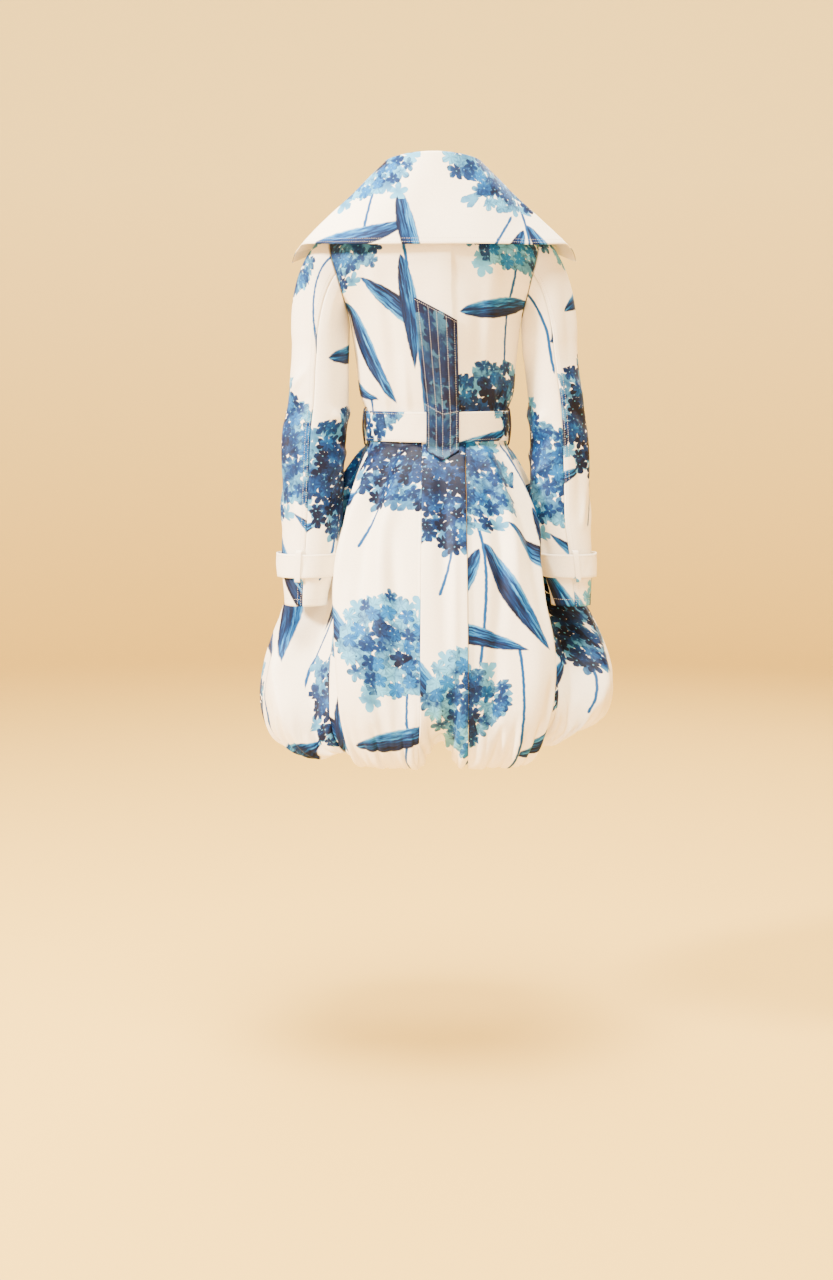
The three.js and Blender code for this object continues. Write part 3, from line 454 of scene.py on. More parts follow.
# %% Creases and placing of the sleeves
top_creases = [
    (-6, 40, 14, 210, 20, 2.4), (-44, 60, -34, 230, 14, -2.2), (40, 90, 52, 260, 14, -2.2),
    (-70, 262, -10, 300, 8, 2.8), (-64, 292, 0, 318, 7, -2.6), (-60, 318, 4, 352, 8, 2.6),
    (-58, 352, -14, 392, 8, -2.2), (60, 250, 24, 300, 10, 2.2), (66, 300, 20, 346, 9, -2.0),
    (18, 330, 30, 470, 14, 2.2), (-26, 380, -18, 500, 12, 1.8), (48, 380, 50, 500, 10, -1.8),
    (-30, 462, -24, 520, 6, 1.8), (6, 466, 8, 524, 6, 1.6), (40, 460, 42, 520, 6, 1.8)]
under_creases = [
    (-50, 150, -20, 178, 9, 2.6), (40, 130, 6, 166, 9, 2.4), (-56, 190, 0, 214, 8, -2.4),
    (54, 206, 8, 232, 8, 2.4), (-50, 240, -4, 262, 8, 2.2), (12, 280, 22, 400, 12, 2.0),
    (-30, 300, -26, 420, 10, -1.8), (-18, 380, -14, 440, 6, 1.6), (26, 384, 28, 440, 6, 1.6)]
STRAP_MIDDLE, SLEEVE_CREASE = -660, 2.6
sleeve_parts = [
    ("top", FRONT_SEAM, BACK_SEAM, top_creases), ("under", BACK_SEAM, FRONT_SEAM + 360, under_creases)]
sleeve_cuts = {("left", "top"): (0.17, 0.24), ("left", "under"): (0.46, 0.46),
               ("right", "top"): (1.07, 0.54), ("right", "under"): (0.8, 0.84)}
sleeves = {}
for side, rings in (("left", sleeve_left), ("right", sleeve_right)):
    for part, first, last, table in sleeve_parts:
        grid = sleeve_grid(rings, first, last)
        if side == "right":
            grid = (grid * (-1, 1, 1))[:, ::-1]
            table = [(-a * 0.94, b + 9, -c, d + 6, e * 1.1, f * 0.9) for a, b, c, d, e, f in table]
        grid = lean(grid)
        flat_across, flat_down = lie_flat(grid)
        drawn_in = -1.6 * np.exp(-((grid[..., 2] - STRAP_MIDDLE) / 16) ** 2)
        fold = creases(flat_across, flat_down, table) * SLEEVE_CREASE * smooth(flat_down / 30)
        grid = move_out(grid, fold + drawn_in + dip_at_edges(grid, ("start", "end"), 0.8, 3.5))
        name = f"sleeve_{side}_{part}"
        cloth_piece(name + "_cloth", grid, name, cut_from=sleeve_cuts[side, part])
        sleeves[side, part] = grid

# %% [markdown]
# ## The bubble skirt
# The skirt is gored: it swells from the waist, and its hem is drawn in and turned up inside, so the cloth
# puffs over it. A cloth simulation would need many tries to find these few large folds, so they are drawn.
# Each level is a squarish ellipse. Two deep folds run down the sides, the hem is notched where it is
# caught up, and small gathers run all round it.

# %% Levels and folds of the skirt
# z, half width, back depth, front depth, squareness
skirt_levels = np.array([
    (-420.2, 122.5, 89, 93, 2), (-447, 123.6, 91, 96, 2), (-472, 142, 108, 112, 2.1),
    (-520, 172, 138, 138, 2.2), (-583, 204, 168, 166, 2.25), (-650, 236, 198, 194, 2.25),
    (-725, 264, 224, 218, 2.25), (-800, 289, 244, 236, 2.25), (-862, 306, 257, 248, 2.25),
    (-912, 313, 263, 254, 2.25), (-950, 309, 259, 250, 2.25), (-980, 293, 243, 235, 2.25),
    (-993, 268, 221, 214, 2.25), (-985, 247, 202, 196, 2.2), (-961, 236, 192, 186, 2.2)])
# left fold, right fold, spread, depth of fold, notch, rise, lift
skirt_folds = np.array([
    (12, 12, 9, 0, 0, 0, 0), (12, 12, 10, 0.5, 0, 0, 0), (12, 12, 13, 8, 0, 0, 0),
    (12, 12, 17, 21, 0, 0, 0), (12, 11, 21, 42, 0, 0, 0), (17, 15, 24, 66, 0, 0, 0),
    (23, 20, 23, 76, 0, 0, 0), (32, 26, 19, 66, 0, 0.2, 0), (38, 31, 16, 58, 0.15, 0.5, 0),
    (42, 35, 14, 50, 0.4, 0.8, 0.3), (44, 38, 13, 42, 0.8, 1, 0.6), (45, 40, 12, 32, 1, 1, 1),
    (45, 41, 12, 22, 0.9, 1, 1), (45, 41, 12, 14, 0.6, 1, 0.9), (45, 41, 12, 9, 0.4, 1, 0.7)])
# angle, width, depth, lift of each notch of the hem
hem_notches = [(91, 9, 40, 40), (205, 10, 18, 22), (245, 9, 16, 18), (295, 9, 16, 18), (335, 10, 18, 22)]
# How much the hem rises towards the right and the left, and at a side fold
RIGHT_RISE, LEFT_RISE, FOLD_RISE = 46, 13, 16
# Gathers round the hem: how many and how high, in two sets
LARGE_GATHERS, LARGE_HEIGHT, SMALL_GATHERS, SMALL_HEIGHT = 27, 4.6, 71, 2.2
# Box pleat: half width at the waist, place of its middle, height of its step
PLEAT_HALF, PLEAT_MIDDLE, PLEAT_HEIGHT = 37, -10, 6
PLEAT_START_Z = -447


def turn_between(a, b):
    """Angle from b to a, between -180 and 180 degrees."""
    return (a - b + 180) % 360 - 180


def pleat_reach(half):
    """The pleat grows wider with the skirt: 0.92 of its half width plus one part in 1400 of the level."""
    return PLEAT_HALF * (0.92 + half / 1400)


def skirt_point(ring, angle):
    """Squarish ellipse by angle, less the side folds and notches, plus gathers and the box pleat."""
    z, half, back_deep, front_deep, square, left, right, spread, fold, notch, rise, lift = ring
    c, s = np.cos(np.radians(angle)), np.sin(np.radians(angle))
    deep = np.where(s > 0, back_deep, front_deep)
    radius = ((np.abs(c) / half) ** square + (np.abs(s) / deep) ** square) ** (-1 / square)
    near_left, near_right = turn_between(angle, left) / spread, turn_between(angle, 180 - right) / spread
    radius = radius - fold * (groove(near_left) + groove(near_right))
    towards_right, towards_left = smooth((-c * radius - 150) / 110), smooth((c * radius - 200) / 80)
    height = z + rise * (RIGHT_RISE * towards_right + LEFT_RISE * towards_left)
    height = height + lift * FOLD_RISE * (hump(near_left) + hump(near_right))
    for at, width, depth, up in hem_notches:
        share = hump(turn_between(angle, at) / width)
        radius = radius - depth * notch * share
        height = height + up * lift * share
    turn = np.radians(angle)
    radius = radius + LARGE_HEIGHT * lift * np.cos(turn * LARGE_GATHERS)
    radius = radius + SMALL_HEIGHT * lift * np.sin(turn * SMALL_GATHERS + 2 * np.sin(turn * 5))
    beside = (pleat_reach(radius) - np.abs(radius * c - PLEAT_MIDDLE)) / 3
    stands = smooth(beside + 0.5) * np.clip((PLEAT_START_Z - z) / 40, 0, 1) * (1 - lift)
    radius = radius + np.where(s > 0, PLEAT_HEIGHT * stands, 0)
    return np.stack([radius * c, radius * s, height], axis=-1)


# %% Panels of the skirt
# 118 rows down to the tenth level, and 61 more over the puff of the hem
row_at = np.concatenate([np.linspace(0, 9, 118), np.linspace(9, 14, 62)[1:]])
rings = read_levels(np.arange(len(skirt_levels)), np.hstack([skirt_levels, skirt_folds]), row_at)
left_edge, right_edge = rings[:, 5], 180 - rings[:, 6]
# The fronts overlap by 17 mm past the middle, at 270 degrees; the side seams have fixed angles
OVERLAP, FRONT, SIDE_RIGHT, SIDE_LEFT = 17, 270, 218, 322
front_reach = np.degrees(np.arcsin(OVERLAP / rings[:, 3]))
side_right, side_left = np.full_like(left_edge, SIDE_RIGHT), np.full_like(left_edge, SIDE_LEFT)


def skirt_grid(first, last, columns):
    """Angles run evenly from one seam to the next at every level."""
    gap = np.degrees(0.15 / (rings[:, 1] - rings[:, 8]))
    share = np.linspace(0, 1, columns)
    angle = mix((first + gap)[:, None], (last - gap)[:, None], share)
    return skirt_point(tuple(rings[:, k, None] for k in range(12)), angle)


# %% [markdown]
# Long soft folds fall from the waist seam and fade towards the puffed hem, where short gathers come up
# from the drawn-in edge. They are written for each panel in millimetres on the flat cloth.

# %% Folds of the skirt panels
back_side_folds = [
    (-14, 16, -34, 330, 15, 4.4), (12, 20, 14, 390, 14, -4.6), (34, 30, 62, 420, 16, 4.0),
    (-36, 110, -76, 420, 13, -3.6), (60, 200, 100, 430, 12, -3.4), (0, 330, 4, 560, 36, 5.0),
    (-70, 400, -74, 566, 15, -4.4), (66, 400, 72, 566, 14, -4.2), (30, 470, 34, 566, 10, -3.0)]
pleat_folds = [
    (-4, 40, 4, 420, 16, -3.4), (14, 160, 16, 470, 9, 2.2), (-10, 440, -8, 560, 14, 3.2),
    (16, 450, 14, 566, 9, -3.2)]
# A short gather every 23 mm, each a little different in length, slant and depth
hem_gathers = [(x, 540 + 18 * np.sin(x), x + 5 * np.sin(x * 3), 640, 5.5, -5 * (1 + 0.5 * np.sin(x * 7)))
               for x in range(-280, 281, 23)]
side_folds = [
    (-60, 60, -90, 420, 20, 3.4), (-20, 40, -30, 400, 16, -3.2), (24, 50, 38, 420, 18, 3.4),
    (60, 60, 92, 430, 18, -3), (-110, 320, -112, 540, 24, 3.2), (0, 340, 0, 540, 26, 3.6),
    (100, 330, 104, 540, 24, 3.2)]
front_folds = [
    (-40, 30, -66, 400, 16, 3), (-10, 30, -16, 420, 14, -2.8), (26, 30, 42, 420, 16, 3),
    (-50, 340, -54, 540, 22, 3), (44, 330, 50, 540, 24, 3.2)]

# %% [markdown]
# Seven panels go round the skirt, and the box pleat of the back is one of them, so the print breaks at
# both of its edges. The right front lies over the left one, as on the bodice.

# %% Cut the skirt panels
pleat_left, pleat_right = (
    np.degrees(np.arccos((side * pleat_reach(rings[:, 2]) + PLEAT_MIDDLE) / rings[:, 2])) for side in (1, -1))
# name, first and last angle, columns, folds, place on the printed cloth
panels = [
    ("back_left", left_edge, pleat_left, 92, back_side_folds, (0.42, 1.72)),
    ("back_pleat", pleat_left, pleat_right, 48, pleat_folds, (1.05, 1.06)),
    ("back_right", pleat_right, right_edge, 92, back_side_folds, (0.88, 1.40)),
    ("side_right", right_edge, side_right, 130, side_folds, (1.2, 1.3)),
    ("front_right", side_right, FRONT + front_reach, 96, front_folds, (1.6, 0.9)),
    ("front_left", FRONT + 0.5 - front_reach, side_left, 96, front_folds, (0.3, 1.15)),
    ("side_left", side_left - 360, left_edge, 130, side_folds, (0.78, 0.7))]
FOLD_STRENGTH, GATHER_STRENGTH = 2.3, 1.2
# The fronts lie flat within 24 mm of the middle, and their folds come in over the next 26 mm
FLAT_FRONT, FRONT_FADE = 24, 26
skirt = {}
for panel, first, last, columns, folds, cut in panels:
    grid = skirt_grid(first, last, columns)
    if panel == "front_right":
        grid = move_level(grid, LAP_STEP * smooth((grid[..., 0] + 46) / 24))
    flat_across, flat_down = lie_flat(grid)
    shape = creases(flat_across, flat_down, folds) * FOLD_STRENGTH
    shape += creases(flat_across, flat_down, hem_gathers) * GATHER_STRENGTH
    shape *= smooth(flat_down / 60)
    if "front" in panel:
        shape *= smooth((np.abs(grid[..., 0]) - FLAT_FRONT) / FRONT_FADE)
    else:
        shape += dip_at_edges(grid, ("start", "end"), 1.2, 5)
    skirt[panel] = move_out(grid, shape)
    name = "skirt_box_pleat" if panel == "back_pleat" else f"skirt_{panel}_panel"
    cloth_piece(name, skirt[panel], "skirt_" + panel, cut_from=cut)

# %% [markdown]
# ## Belt, loops and buckle
# The belt is a flat band of doubled cloth once round the waist, whose tail lies over its start at the
# front. It is an ellipse that steps out by 3.4 mm where the tail passes over. Two thin loops stand off
# it at the sides, and the buckle is a frame covered in the same cloth.

# %% Ellipse of the belt
BELT_TOP, BELT_BOTTOM = -393, -445
BELT_HALF, BELT_BACK, BELT_FRONT = 126.4, 94.2, 100
BELT_GAP, BELT_STEP = 2.2, 3.4


def belt_point(angle, grow, z):
    """Ellipse by angle in degrees, grown outwards by the given distance."""
    c, s = np.cos(np.radians(angle)), np.sin(np.radians(angle))
    deep = np.where(s > 0, BELT_BACK, BELT_FRONT)
    return np.stack(np.broadcast_arrays((BELT_HALF + grow) * c, (deep + grow) * s, z), axis=-1)


# %% Belt loops
# Share of the way down, height, distance from the belt's line
loop_shape = np.array([
    (0, -386, 1.6), (0.2, -388.5, 5.2), (0.5, -418, 8.2), (0.85, -448, 5.2), (1, -453, 2.3)])
for name, at in (("belt_loop_left", 14), ("belt_loop_right", 164)):
    shape = read_levels(loop_shape[:, 0], loop_shape, np.linspace(0, 1, 40))
    reach = np.linalg.norm(belt_point(at, 0, 0)[:2])
    angle = at + np.degrees(np.linspace(-4.5, 4.5, 8) / reach)
    loop = belt_point(angle[None, :], shape[:, 2:3], shape[:, 1:2])
    cloth_piece(name + "_strip", loop, name, cut_from=(0.1 + at / 300, 0.3), thick=1.4)


# %% Belt
# From 8 degrees before the middle of the front, once round and 34 degrees over its own start
BELT_START = 262
angle = np.linspace(BELT_START, BELT_START + 394, 260)
grow = BELT_GAP + BELT_STEP * smooth((angle - BELT_START - 330) / 26)
height = np.linspace(BELT_TOP, BELT_BOTTOM, 22)[:, None]
belt = belt_point(angle, grow, height + 0.7 * np.sin(np.radians(angle) * 3))
flat_across, flat_down = lie_flat(belt)
belt_creases = [
    (-150, 6, -120, 44, 6, 0.7), (-40, 4, -60, 46, 7, -0.7), (60, 6, 86, 44, 6, 0.8),
    (180, 4, 160, 40, 6, -0.7), (250, 6, 268, 46, 6, 0.7), (-260, 6, -240, 46, 6, -0.6),
    (-330, 8, -318, 44, 6, 0.6)]
half_belt = (BELT_TOP - BELT_BOTTOM) / 2
puff = 0.5 * (1 - ((flat_down - half_belt) / half_belt) ** 8)
belt = move_out(belt, creases(flat_across, flat_down, belt_creases) + puff - 0.5)
cloth_piece("waist_belt", belt, "belt", cut_from=(0.9, 1.62), thick=2.2, turn=4)

# %% [markdown]
# The buckle is a stiff frame, and the cloth is pulled tight over it. A soft rounded section is carried
# round a rounded rectangle, and each point is then laid on the curve of the belt.

# %% Buckle
BUCKLE_HALF_WIDE, BUCKLE_HALF_HIGH, RIM_HALF_WIDE, RIM_HALF_THICK = 26, 30.7, 3.1, 1.3


def rounded(angle, power):
    """Rounded square: cosine and sine, each raised to a power below 1 with its sign kept."""
    return [np.sign(v) * np.abs(v) ** power for v in (np.cos(angle), np.sin(angle))]


step = np.linspace(0, 2 * np.pi, 144, endpoint=False)[:, None]
section = np.linspace(0, 2 * np.pi, 16, endpoint=False)
(frame_x, frame_z), (side_x, side_z) = rounded(step, 0.22), rounded(step, 0.6)
wide, thick = rounded(section, 0.6)
x = BUCKLE_HALF_WIDE * frame_x + side_x * wide * RIM_HALF_WIDE
z = BUCKLE_HALF_HIGH * frame_z + side_z * wide * RIM_HALF_WIDE + (BELT_TOP + BELT_BOTTOM) / 2
over = BELT_GAP + BELT_STEP + 0.5
seat = (BELT_FRONT + over) * np.sqrt(1 - (x / (BELT_HALF + over)) ** 2)
rim = np.stack([x, -seat - RIM_HALF_THICK * (1 + thick), z], axis=-1)
index = np.pad(np.arange(rim.shape[0] * rim.shape[1]).reshape(rim.shape[:2]), ((0, 1), (0, 1)), mode="wrap")
mesh = make_mesh("covered_buckle_frame", rim, quads(index.T).tolist())
mesh.shade_smooth()
flat = np.stack([rim[..., 0], rim[..., 2] + 0.8 * rim[..., 1]], axis=-1).reshape(-1, 2)
set_layout(mesh, flat / 1000 + (0.34, 1.2))
buckle = add_piece("covered_buckle_frame", mesh, "belt_buckle")
print("buckle", [round(v * 1000) for v in buckle.dimensions])

# %% [markdown]
# ## The back tab
# A strap of the same cloth, cut from the dark part of the print and stitched in rows, runs from between
# the shoulder blades down over the belt to a point. Its height over the body is read from the pieces
# that it lies on: the bodice, the belt and the skirt.

# %% Height of a grid over the back
def back_height(grid, x, z):
    """For each column of x: read every row of the grid at that x, then read those heights at z."""
    out = np.empty_like(x)
    for j in range(x.shape[1]):
        rows = [[np.interp(-np.mean(x[:, j]), -row[:, 0], row[:, k]) for k in (1, 2)] for row in grid]
        y_at, z_at = np.array(rows).T
        out[:, j] = np.interp(-z[:, j], -z_at, y_at, left=-1e3, right=-1e3)
    return out


# %% Back tab
# Top edge from left to right, the point at the bottom and its corners, and the half widths at top and belt
TAB_TOP_LEFT, TAB_TOP_RIGHT, TAB_POINT, TAB_CORNER = -199, -238, -475, -459
TAB_TOP_HALF, TAB_BELT_HALF, TAB_TOP_X, TAB_SHIFT = 36.5, 28.5, 4, -13
TAB_THICK, TAB_CLEAR = 2.2, 3.5
rows_down = np.linspace(0, 1, 110)[:, None]
share = np.linspace(0, 1, 27)[None, :]
side = 1 - 2 * share
tab_z = mix(mix(TAB_TOP_LEFT, TAB_TOP_RIGHT, share), mix(TAB_POINT, TAB_CORNER, np.abs(side)), rows_down)
towards_belt = np.clip((tab_z - TAB_TOP_LEFT) / (BELT_TOP - TAB_TOP_LEFT), 0, 1)
tab_x = TAB_TOP_X + TAB_SHIFT * towards_belt + side * mix(TAB_TOP_HALF, TAB_BELT_HALF, towards_belt)
upper_pleat = skirt["back_pleat"][:70]
on_cloth = np.maximum(back_height(back, tab_x, tab_z), back_height(upper_pleat, tab_x, tab_z)) + 0.3
# The belt counts from 16 mm above it to 16 mm below, and fades in over 12 mm
on_belt = (BELT_BACK + 2.5) * np.sqrt(1 - (tab_x / BELT_HALF) ** 2) + 0.6
on_belt *= smooth((tab_z - BELT_BOTTOM + 16) / 12) * smooth((BELT_TOP + 16 - tab_z) / 12)
tab_y = np.maximum(on_cloth, on_belt) + TAB_CLEAR
for _ in range(6):
    between = tab_y[:-2] * 0.25 + tab_y[1:-1] * 0.5 + tab_y[2:] * 0.25
    tab_y[1:-1] = np.maximum(tab_y[1:-1], between)
tab = np.stack([tab_x, tab_y, tab_z], axis=-1)
rows_of_stitch = [-0.86, -0.44, 0, 0.42, 0.86]
quilt = sum(np.exp(-((side - at) / 0.07) ** 2) for at in rows_of_stitch)
tab = move_out(tab, np.broadcast_to(-0.55 * quilt, tab_x.shape))
cloth_piece("stitched_back_tab", tab, "back_tab", cut_from=(0.14, 0.72), thick=TAB_THICK)

# %% [markdown]
# ## Wrist straps and keepers
# A strap goes round each wrist, laps over at the front and is held by a button. A keeper, sewn over the
# back seam, holds it in place.

# %% Straps and keepers
STRAP_TOP, STRAP_BOTTOM = -639, -680
STRAP_OUT, STRAP_WIDER, STRAP_DEEPER = 2.7, 4.3, 2.9
STRAP_GAP, STRAP_STEP, STRAP_START = 2.2, 2.8, -130


def strap_point(rings, angle, grow, z):
    """The sleeve's own ellipse at that height, a little larger and a little further out."""
    ring = read_levels(rings[:, 0], rings, z)
    c, s = np.cos(np.radians(angle)), np.sin(np.radians(angle))
    x = ring[..., 1] + STRAP_OUT + (ring[..., 3] + STRAP_WIDER + grow) * c
    y = ring[..., 2] + (ring[..., 4] + STRAP_DEEPER + grow) * s
    return np.stack(np.broadcast_arrays(x, y, z), axis=-1)


# Share of the way down, height, distance from the strap's line
keeper_shape = np.array([
    (0, -632, -1.2), (0.22, -635, 3.4), (0.5, -659.5, 4.4), (0.78, -684, 3.4), (1, -687, -0.2)])
strap_creases = [(-60, 4, -50, 36, 5, 0.8), (20, 4, 8, 38, 5, -0.7), (70, 4, 84, 36, 5, 0.8)]
KEEPER_ANGLE = 76
straps = {}
for side, rings, cut in (("left", sleeve_left, 0.5), ("right", sleeve_right, 1.4)):
    angle = np.linspace(STRAP_START, STRAP_START + 400, 170)[None, :]
    height = np.linspace(STRAP_TOP, STRAP_BOTTOM, 16)[:, None] + 0 * angle
    grow = STRAP_GAP + STRAP_STEP * smooth((angle - STRAP_START - 335) / 24)
    strap = strap_point(rings, angle, grow, height)
    shape = read_levels(keeper_shape[:, 0], keeper_shape, np.linspace(0, 1, 40))
    keeper_angle = KEEPER_ANGLE + np.linspace(-5.5, 5.5, 9)[None, :]
    keeper = strap_point(rings, keeper_angle, shape[:, 2:3], shape[:, 1:2] + 0 * keeper_angle)
    if side == "right":
        strap, keeper = ((grid * (-1, 1, 1))[:, ::-1] for grid in (strap, keeper))
    strap = move_out(strap, creases(*lie_flat(strap), strap_creases) - 0.3)
    cloth_piece("wrist_strap_" + side, strap, "cuff_strap_" + side, cut_from=(cut, 1.5), thick=1.8)
    cloth_piece("wrist_keeper_" + side, keeper, "cuff_keeper_" + side, cut_from=(cut, 1.5), thick=1.4)
    straps[side] = strap

# %% [markdown]
# ## Buttons
# Flat buttons with a raised rim and a soft dish, and a small knot of thread in the middle. Real ones are
# cast and then turned on a lathe. So each is a profile turned round the axis of the button that the solid
# model holds at that place.

# %% Buttons
# Radius and height of each point of the profile, from the foot to the dish
button_profile = np.array([
    (0, 0), (6, 0.1), (9.0, 0.4), (9.5, 1.2), (9.45, 2.6), (8.9, 3.2), (8.2, 3.1), (7.6, 2.6),
    (6, 2.35), (3, 2.3), (0, 2.3)])
thread_profile = np.array([(0, 0), (1.8, 0.1), (2.3, 0.5), (1.7, 0.95), (0, 1.0)])


def turned(name, profile, foot, axis, stands_for=None, steps=40):
    """Surface of revolution: radius times cosine and sine across the axis, height along it. The first and
    the last point of the profile lie on the axis and close the two ends."""
    side = np.cross(axis, (0, 0, 1))
    side /= np.linalg.norm(side)
    spin = np.linspace(0, 2 * np.pi, steps, endpoint=False)[:, None]
    across = np.cos(spin) * side + np.sin(spin) * np.cross(axis, side)
    body = profile[1:-1, None]
    ring = body[..., :1] * across + body[..., 1:] * axis
    ends = profile[[0, -1], 1:] * axis
    points = np.concatenate([ring.reshape(-1, 3), ends]) + foot
    index = np.pad(np.arange(len(ring) * steps).reshape(-1, steps), ((0, 0), (0, 1)), mode="wrap")
    low_end, high_end = np.full(steps, len(points) - 2), np.full(steps, len(points) - 1)
    faces = quads(index[:, ::-1]).tolist()
    faces += np.stack([index[0, 1:], index[0, :-1], low_end], axis=-1).tolist()
    faces += np.stack([index[-1, :-1], index[-1, 1:], high_end], axis=-1).tolist()
    mesh = make_mesh(name, points, faces)
    mesh.shade_smooth()
    return add_piece(name, mesh, stands_for)


def own_axis(solid):
    """Middle of the solid's box, and the direction in which its points spread least, away from the body."""
    points = np.empty(len(solid.data.vertices) * 3)
    solid.data.vertices.foreach_get("co", points)
    points = np.unique(np.round(points.reshape(-1, 3) * 1000, 3), axis=0)
    axis = np.linalg.svd(points - points.mean(axis=0))[2][2]
    return (points.min(axis=0) + points.max(axis=0)) / 2, axis * (-np.sign(axis[1]) or 1)


HALF_BUTTON, THREAD_FOOT, CUFF_SCALE = 1.6, 2.0, 0.8
button_names = [f"button_{k}" for k in range(1, 8)] + ["cuff_button_left", "cuff_button_right"]
for name in button_names:
    scale = CUFF_SCALE if "cuff" in name else 1
    centre, axis = own_axis(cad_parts[name])
    foot = centre - axis * HALF_BUTTON * scale
    turned(name + "_turned", button_profile * scale, foot, axis, name)
    turned(name + "_thread", thread_profile * scale, foot + axis * THREAD_FOOT * scale, axis)
print(len(button_names), "buttons")

# %% [markdown]
# ## Topstitching
# Rows of small stitches hold the seams and edges flat. Each stitch is modelled as a little spindle of
# thread, 3 mm long, laid end to end along a line on the cloth. On the real dress the thread is thinner
# than a pixel of the picture, so it is drawn 0.7 mm thick.

# %% Stitches along a line of a grid
def line_beside(grid, side, offset):
    """Point and normal of each row (or column) where the running length from the edge is the offset."""
    normal = grid_normals(grid)
    if side in ("top", "bottom"):
        grid, normal = grid.transpose(1, 0, 2), normal.transpose(1, 0, 2)
    if side in ("end", "bottom"):
        grid, normal = grid[:, ::-1], normal[:, ::-1]
    run = running_length(grid, 1)
    k = np.clip((run < offset).sum(axis=1) - 1, 0, grid.shape[1] - 2)
    r = np.arange(len(grid))
    t = ((offset - run[r, k]) / (run[r, k + 1] - run[r, k]))[:, None]
    return mix(grid[r, k], grid[r, k + 1], t), mix(normal[r, k], normal[r, k + 1], t)


def stitches(path, normal, pitch=4.0, long=3.0, thick=0.7, proud=0.12):
    """Six-cornered spindles: two tips along the path and four corners round the middle."""
    run = running_length(path[None], 1)[0]
    at = np.arange(pitch / 2, run[-1], pitch)

    def along(values, where):
        return np.stack([np.interp(where, run, values[:, k]) for k in range(3)], axis=-1)

    centre, up = along(path, at), along(normal, at)
    up /= np.linalg.norm(up, axis=1, keepdims=True)
    ahead = along(path, at + 0.5) - along(path, at - 0.5)
    ahead /= np.maximum(np.linalg.norm(ahead, axis=1, keepdims=True), 1e-9)
    side = np.cross(up, ahead)
    centre = centre + up * proud
    h = thick / 2
    return np.stack([centre - ahead * long / 2, centre + side * h, centre + up * h, centre - side * h,
                     centre - up * h, centre + ahead * long / 2], axis=1)


SPINDLE = np.array([
    (0, 2, 1), (0, 3, 2), (0, 4, 3), (0, 1, 4), (5, 1, 2), (5, 2, 3), (5, 3, 4), (5, 4, 1)])


def stitch_piece(name, rows):
    """All stitches of one thread as one mesh; each spindle keeps its own six corners."""
    points = np.concatenate(rows).reshape(-1, 3)
    count = len(points) // 6
    faces = (SPINDLE[None] + 6 * np.arange(count)[:, None, None]).reshape(-1, 3)
    add_piece(name, make_mesh(name, points, faces.tolist()))
    print(name, count, "stitches")


# %% Where the stitches run
# Grid, edge, and distance from that edge in millimetres
seams = [(collar, "bottom", 4), (collar, "bottom", 10)]
seams += [(sleeves["left", "top"], "end", offset) for offset in (9, 3)]
seams += [(sleeves["right", "top"], "start", offset) for offset in (9, 3)]
seams += [(sleeve, "bottom", 12) for sleeve in sleeves.values()]
seams += [(strap, edge, 4) for strap in straps.values() for edge in ("top", "bottom")]
seams += [(belt, edge, 4) for edge in ("top", "bottom")]
# The skirt's rows end above the puff of the hem
seams += [(skirt[panel][:150], edge, 4)
          for panel, edge in (("side_right", "end"), ("side_left", "start"), ("front_right", "end"))]
seams += [(right_front, "end", 4)]
pale_rows = [stitches(*line_beside(*seam)) for seam in seams]
stitch_piece("pale_topstitching", pale_rows)

tab_normal = grid_normals(tab)
tab_columns = [int(round((1 - at) / 2 * (tab.shape[1] - 1))) for at in rows_of_stitch]
tab_lines = [(tab[2:-3, k], tab_normal[2:-3, k]) for k in tab_columns]
tab_lines.append(line_beside(tab, "top", 4))
cross = int(np.argmin(np.abs(tab_z[:, tab.shape[1] // 2] - BELT_TOP + 5)))
tab_lines.append((tab[cross], tab_normal[cross]))
stitch_piece("tab_topstitching", [stitches(*line, thick=0.9, proud=0.3) for line in tab_lines])

# %% [markdown]
# ## Materials
# The cloth is a crisp cotton and silk twill, printed in blues on cream. Colours are written as sRGB hex
# values and turned linear by one function, because Blender's nodes work in linear light. One small
# function adds a node of any kind, sets its values and joins its links.

# %% Colours and the node helper
def linear(hex_colour):
    """sRGB hex to linear: below 0.04045 divide by 12.92, above it raise ((c + 0.055) / 1.055) to 2.4."""
    c = np.array([int(hex_colour[i:i + 2], 16) for i in (1, 3, 5)]) / 255
    c = np.where(c <= 0.04045, c / 12.92, ((c + 0.055) / 1.055) ** 2.4)
    return (*map(float, c), 1.0)


CREAM, NAVY, BLUE = linear("#fbf0da"), linear("#020822"), linear("#022f62")
SKY, AQUA = linear("#0c64a4"), linear("#5aa8d0")


def node(tree, kind, inputs=(), **settings):
    """Adds a node, sets its settings, sets or links each of its inputs, and returns its outputs. The
    inputs are a row in order, or a dictionary by name or number."""
    new = tree.nodes.new("ShaderNode" + kind)
    for key, value in settings.items():
        setattr(new, key, value)
    for key, value in (inputs if isinstance(inputs, dict) else dict(enumerate(inputs))).items():
        if isinstance(value, bpy.types.NodeSocket):
            tree.links.new(value, new.inputs[key])
        else:
            new.inputs[key].default_value = value
    return new.outputs


print("cream in linear light", [round(v, 3) for v in CREAM])

# %% [markdown]
# ## The flower print
# The print is a repeat 0.62 m wide and 0.74 m high, of heads of many small five-petalled flowers, long
# leaves and thin stems, painted like watercolour. A picture of the cloth would blur close up, so the
# print is worked out by the shader itself. A table says where each head, leaf and stem lies.

# %% Tables of the print, in metres on one repeat
REPEAT = (0.62, 0.74)
# middle x, middle y, radius, share of dark flowers
flower_heads = [
    (0.15, 0.58, 0.130, 0.50), (0.47, 0.20, 0.122, 0.75), (0.495, 0.57, 0.098, 0.34),
    (0.13, 0.15, 0.080, 0.60)]
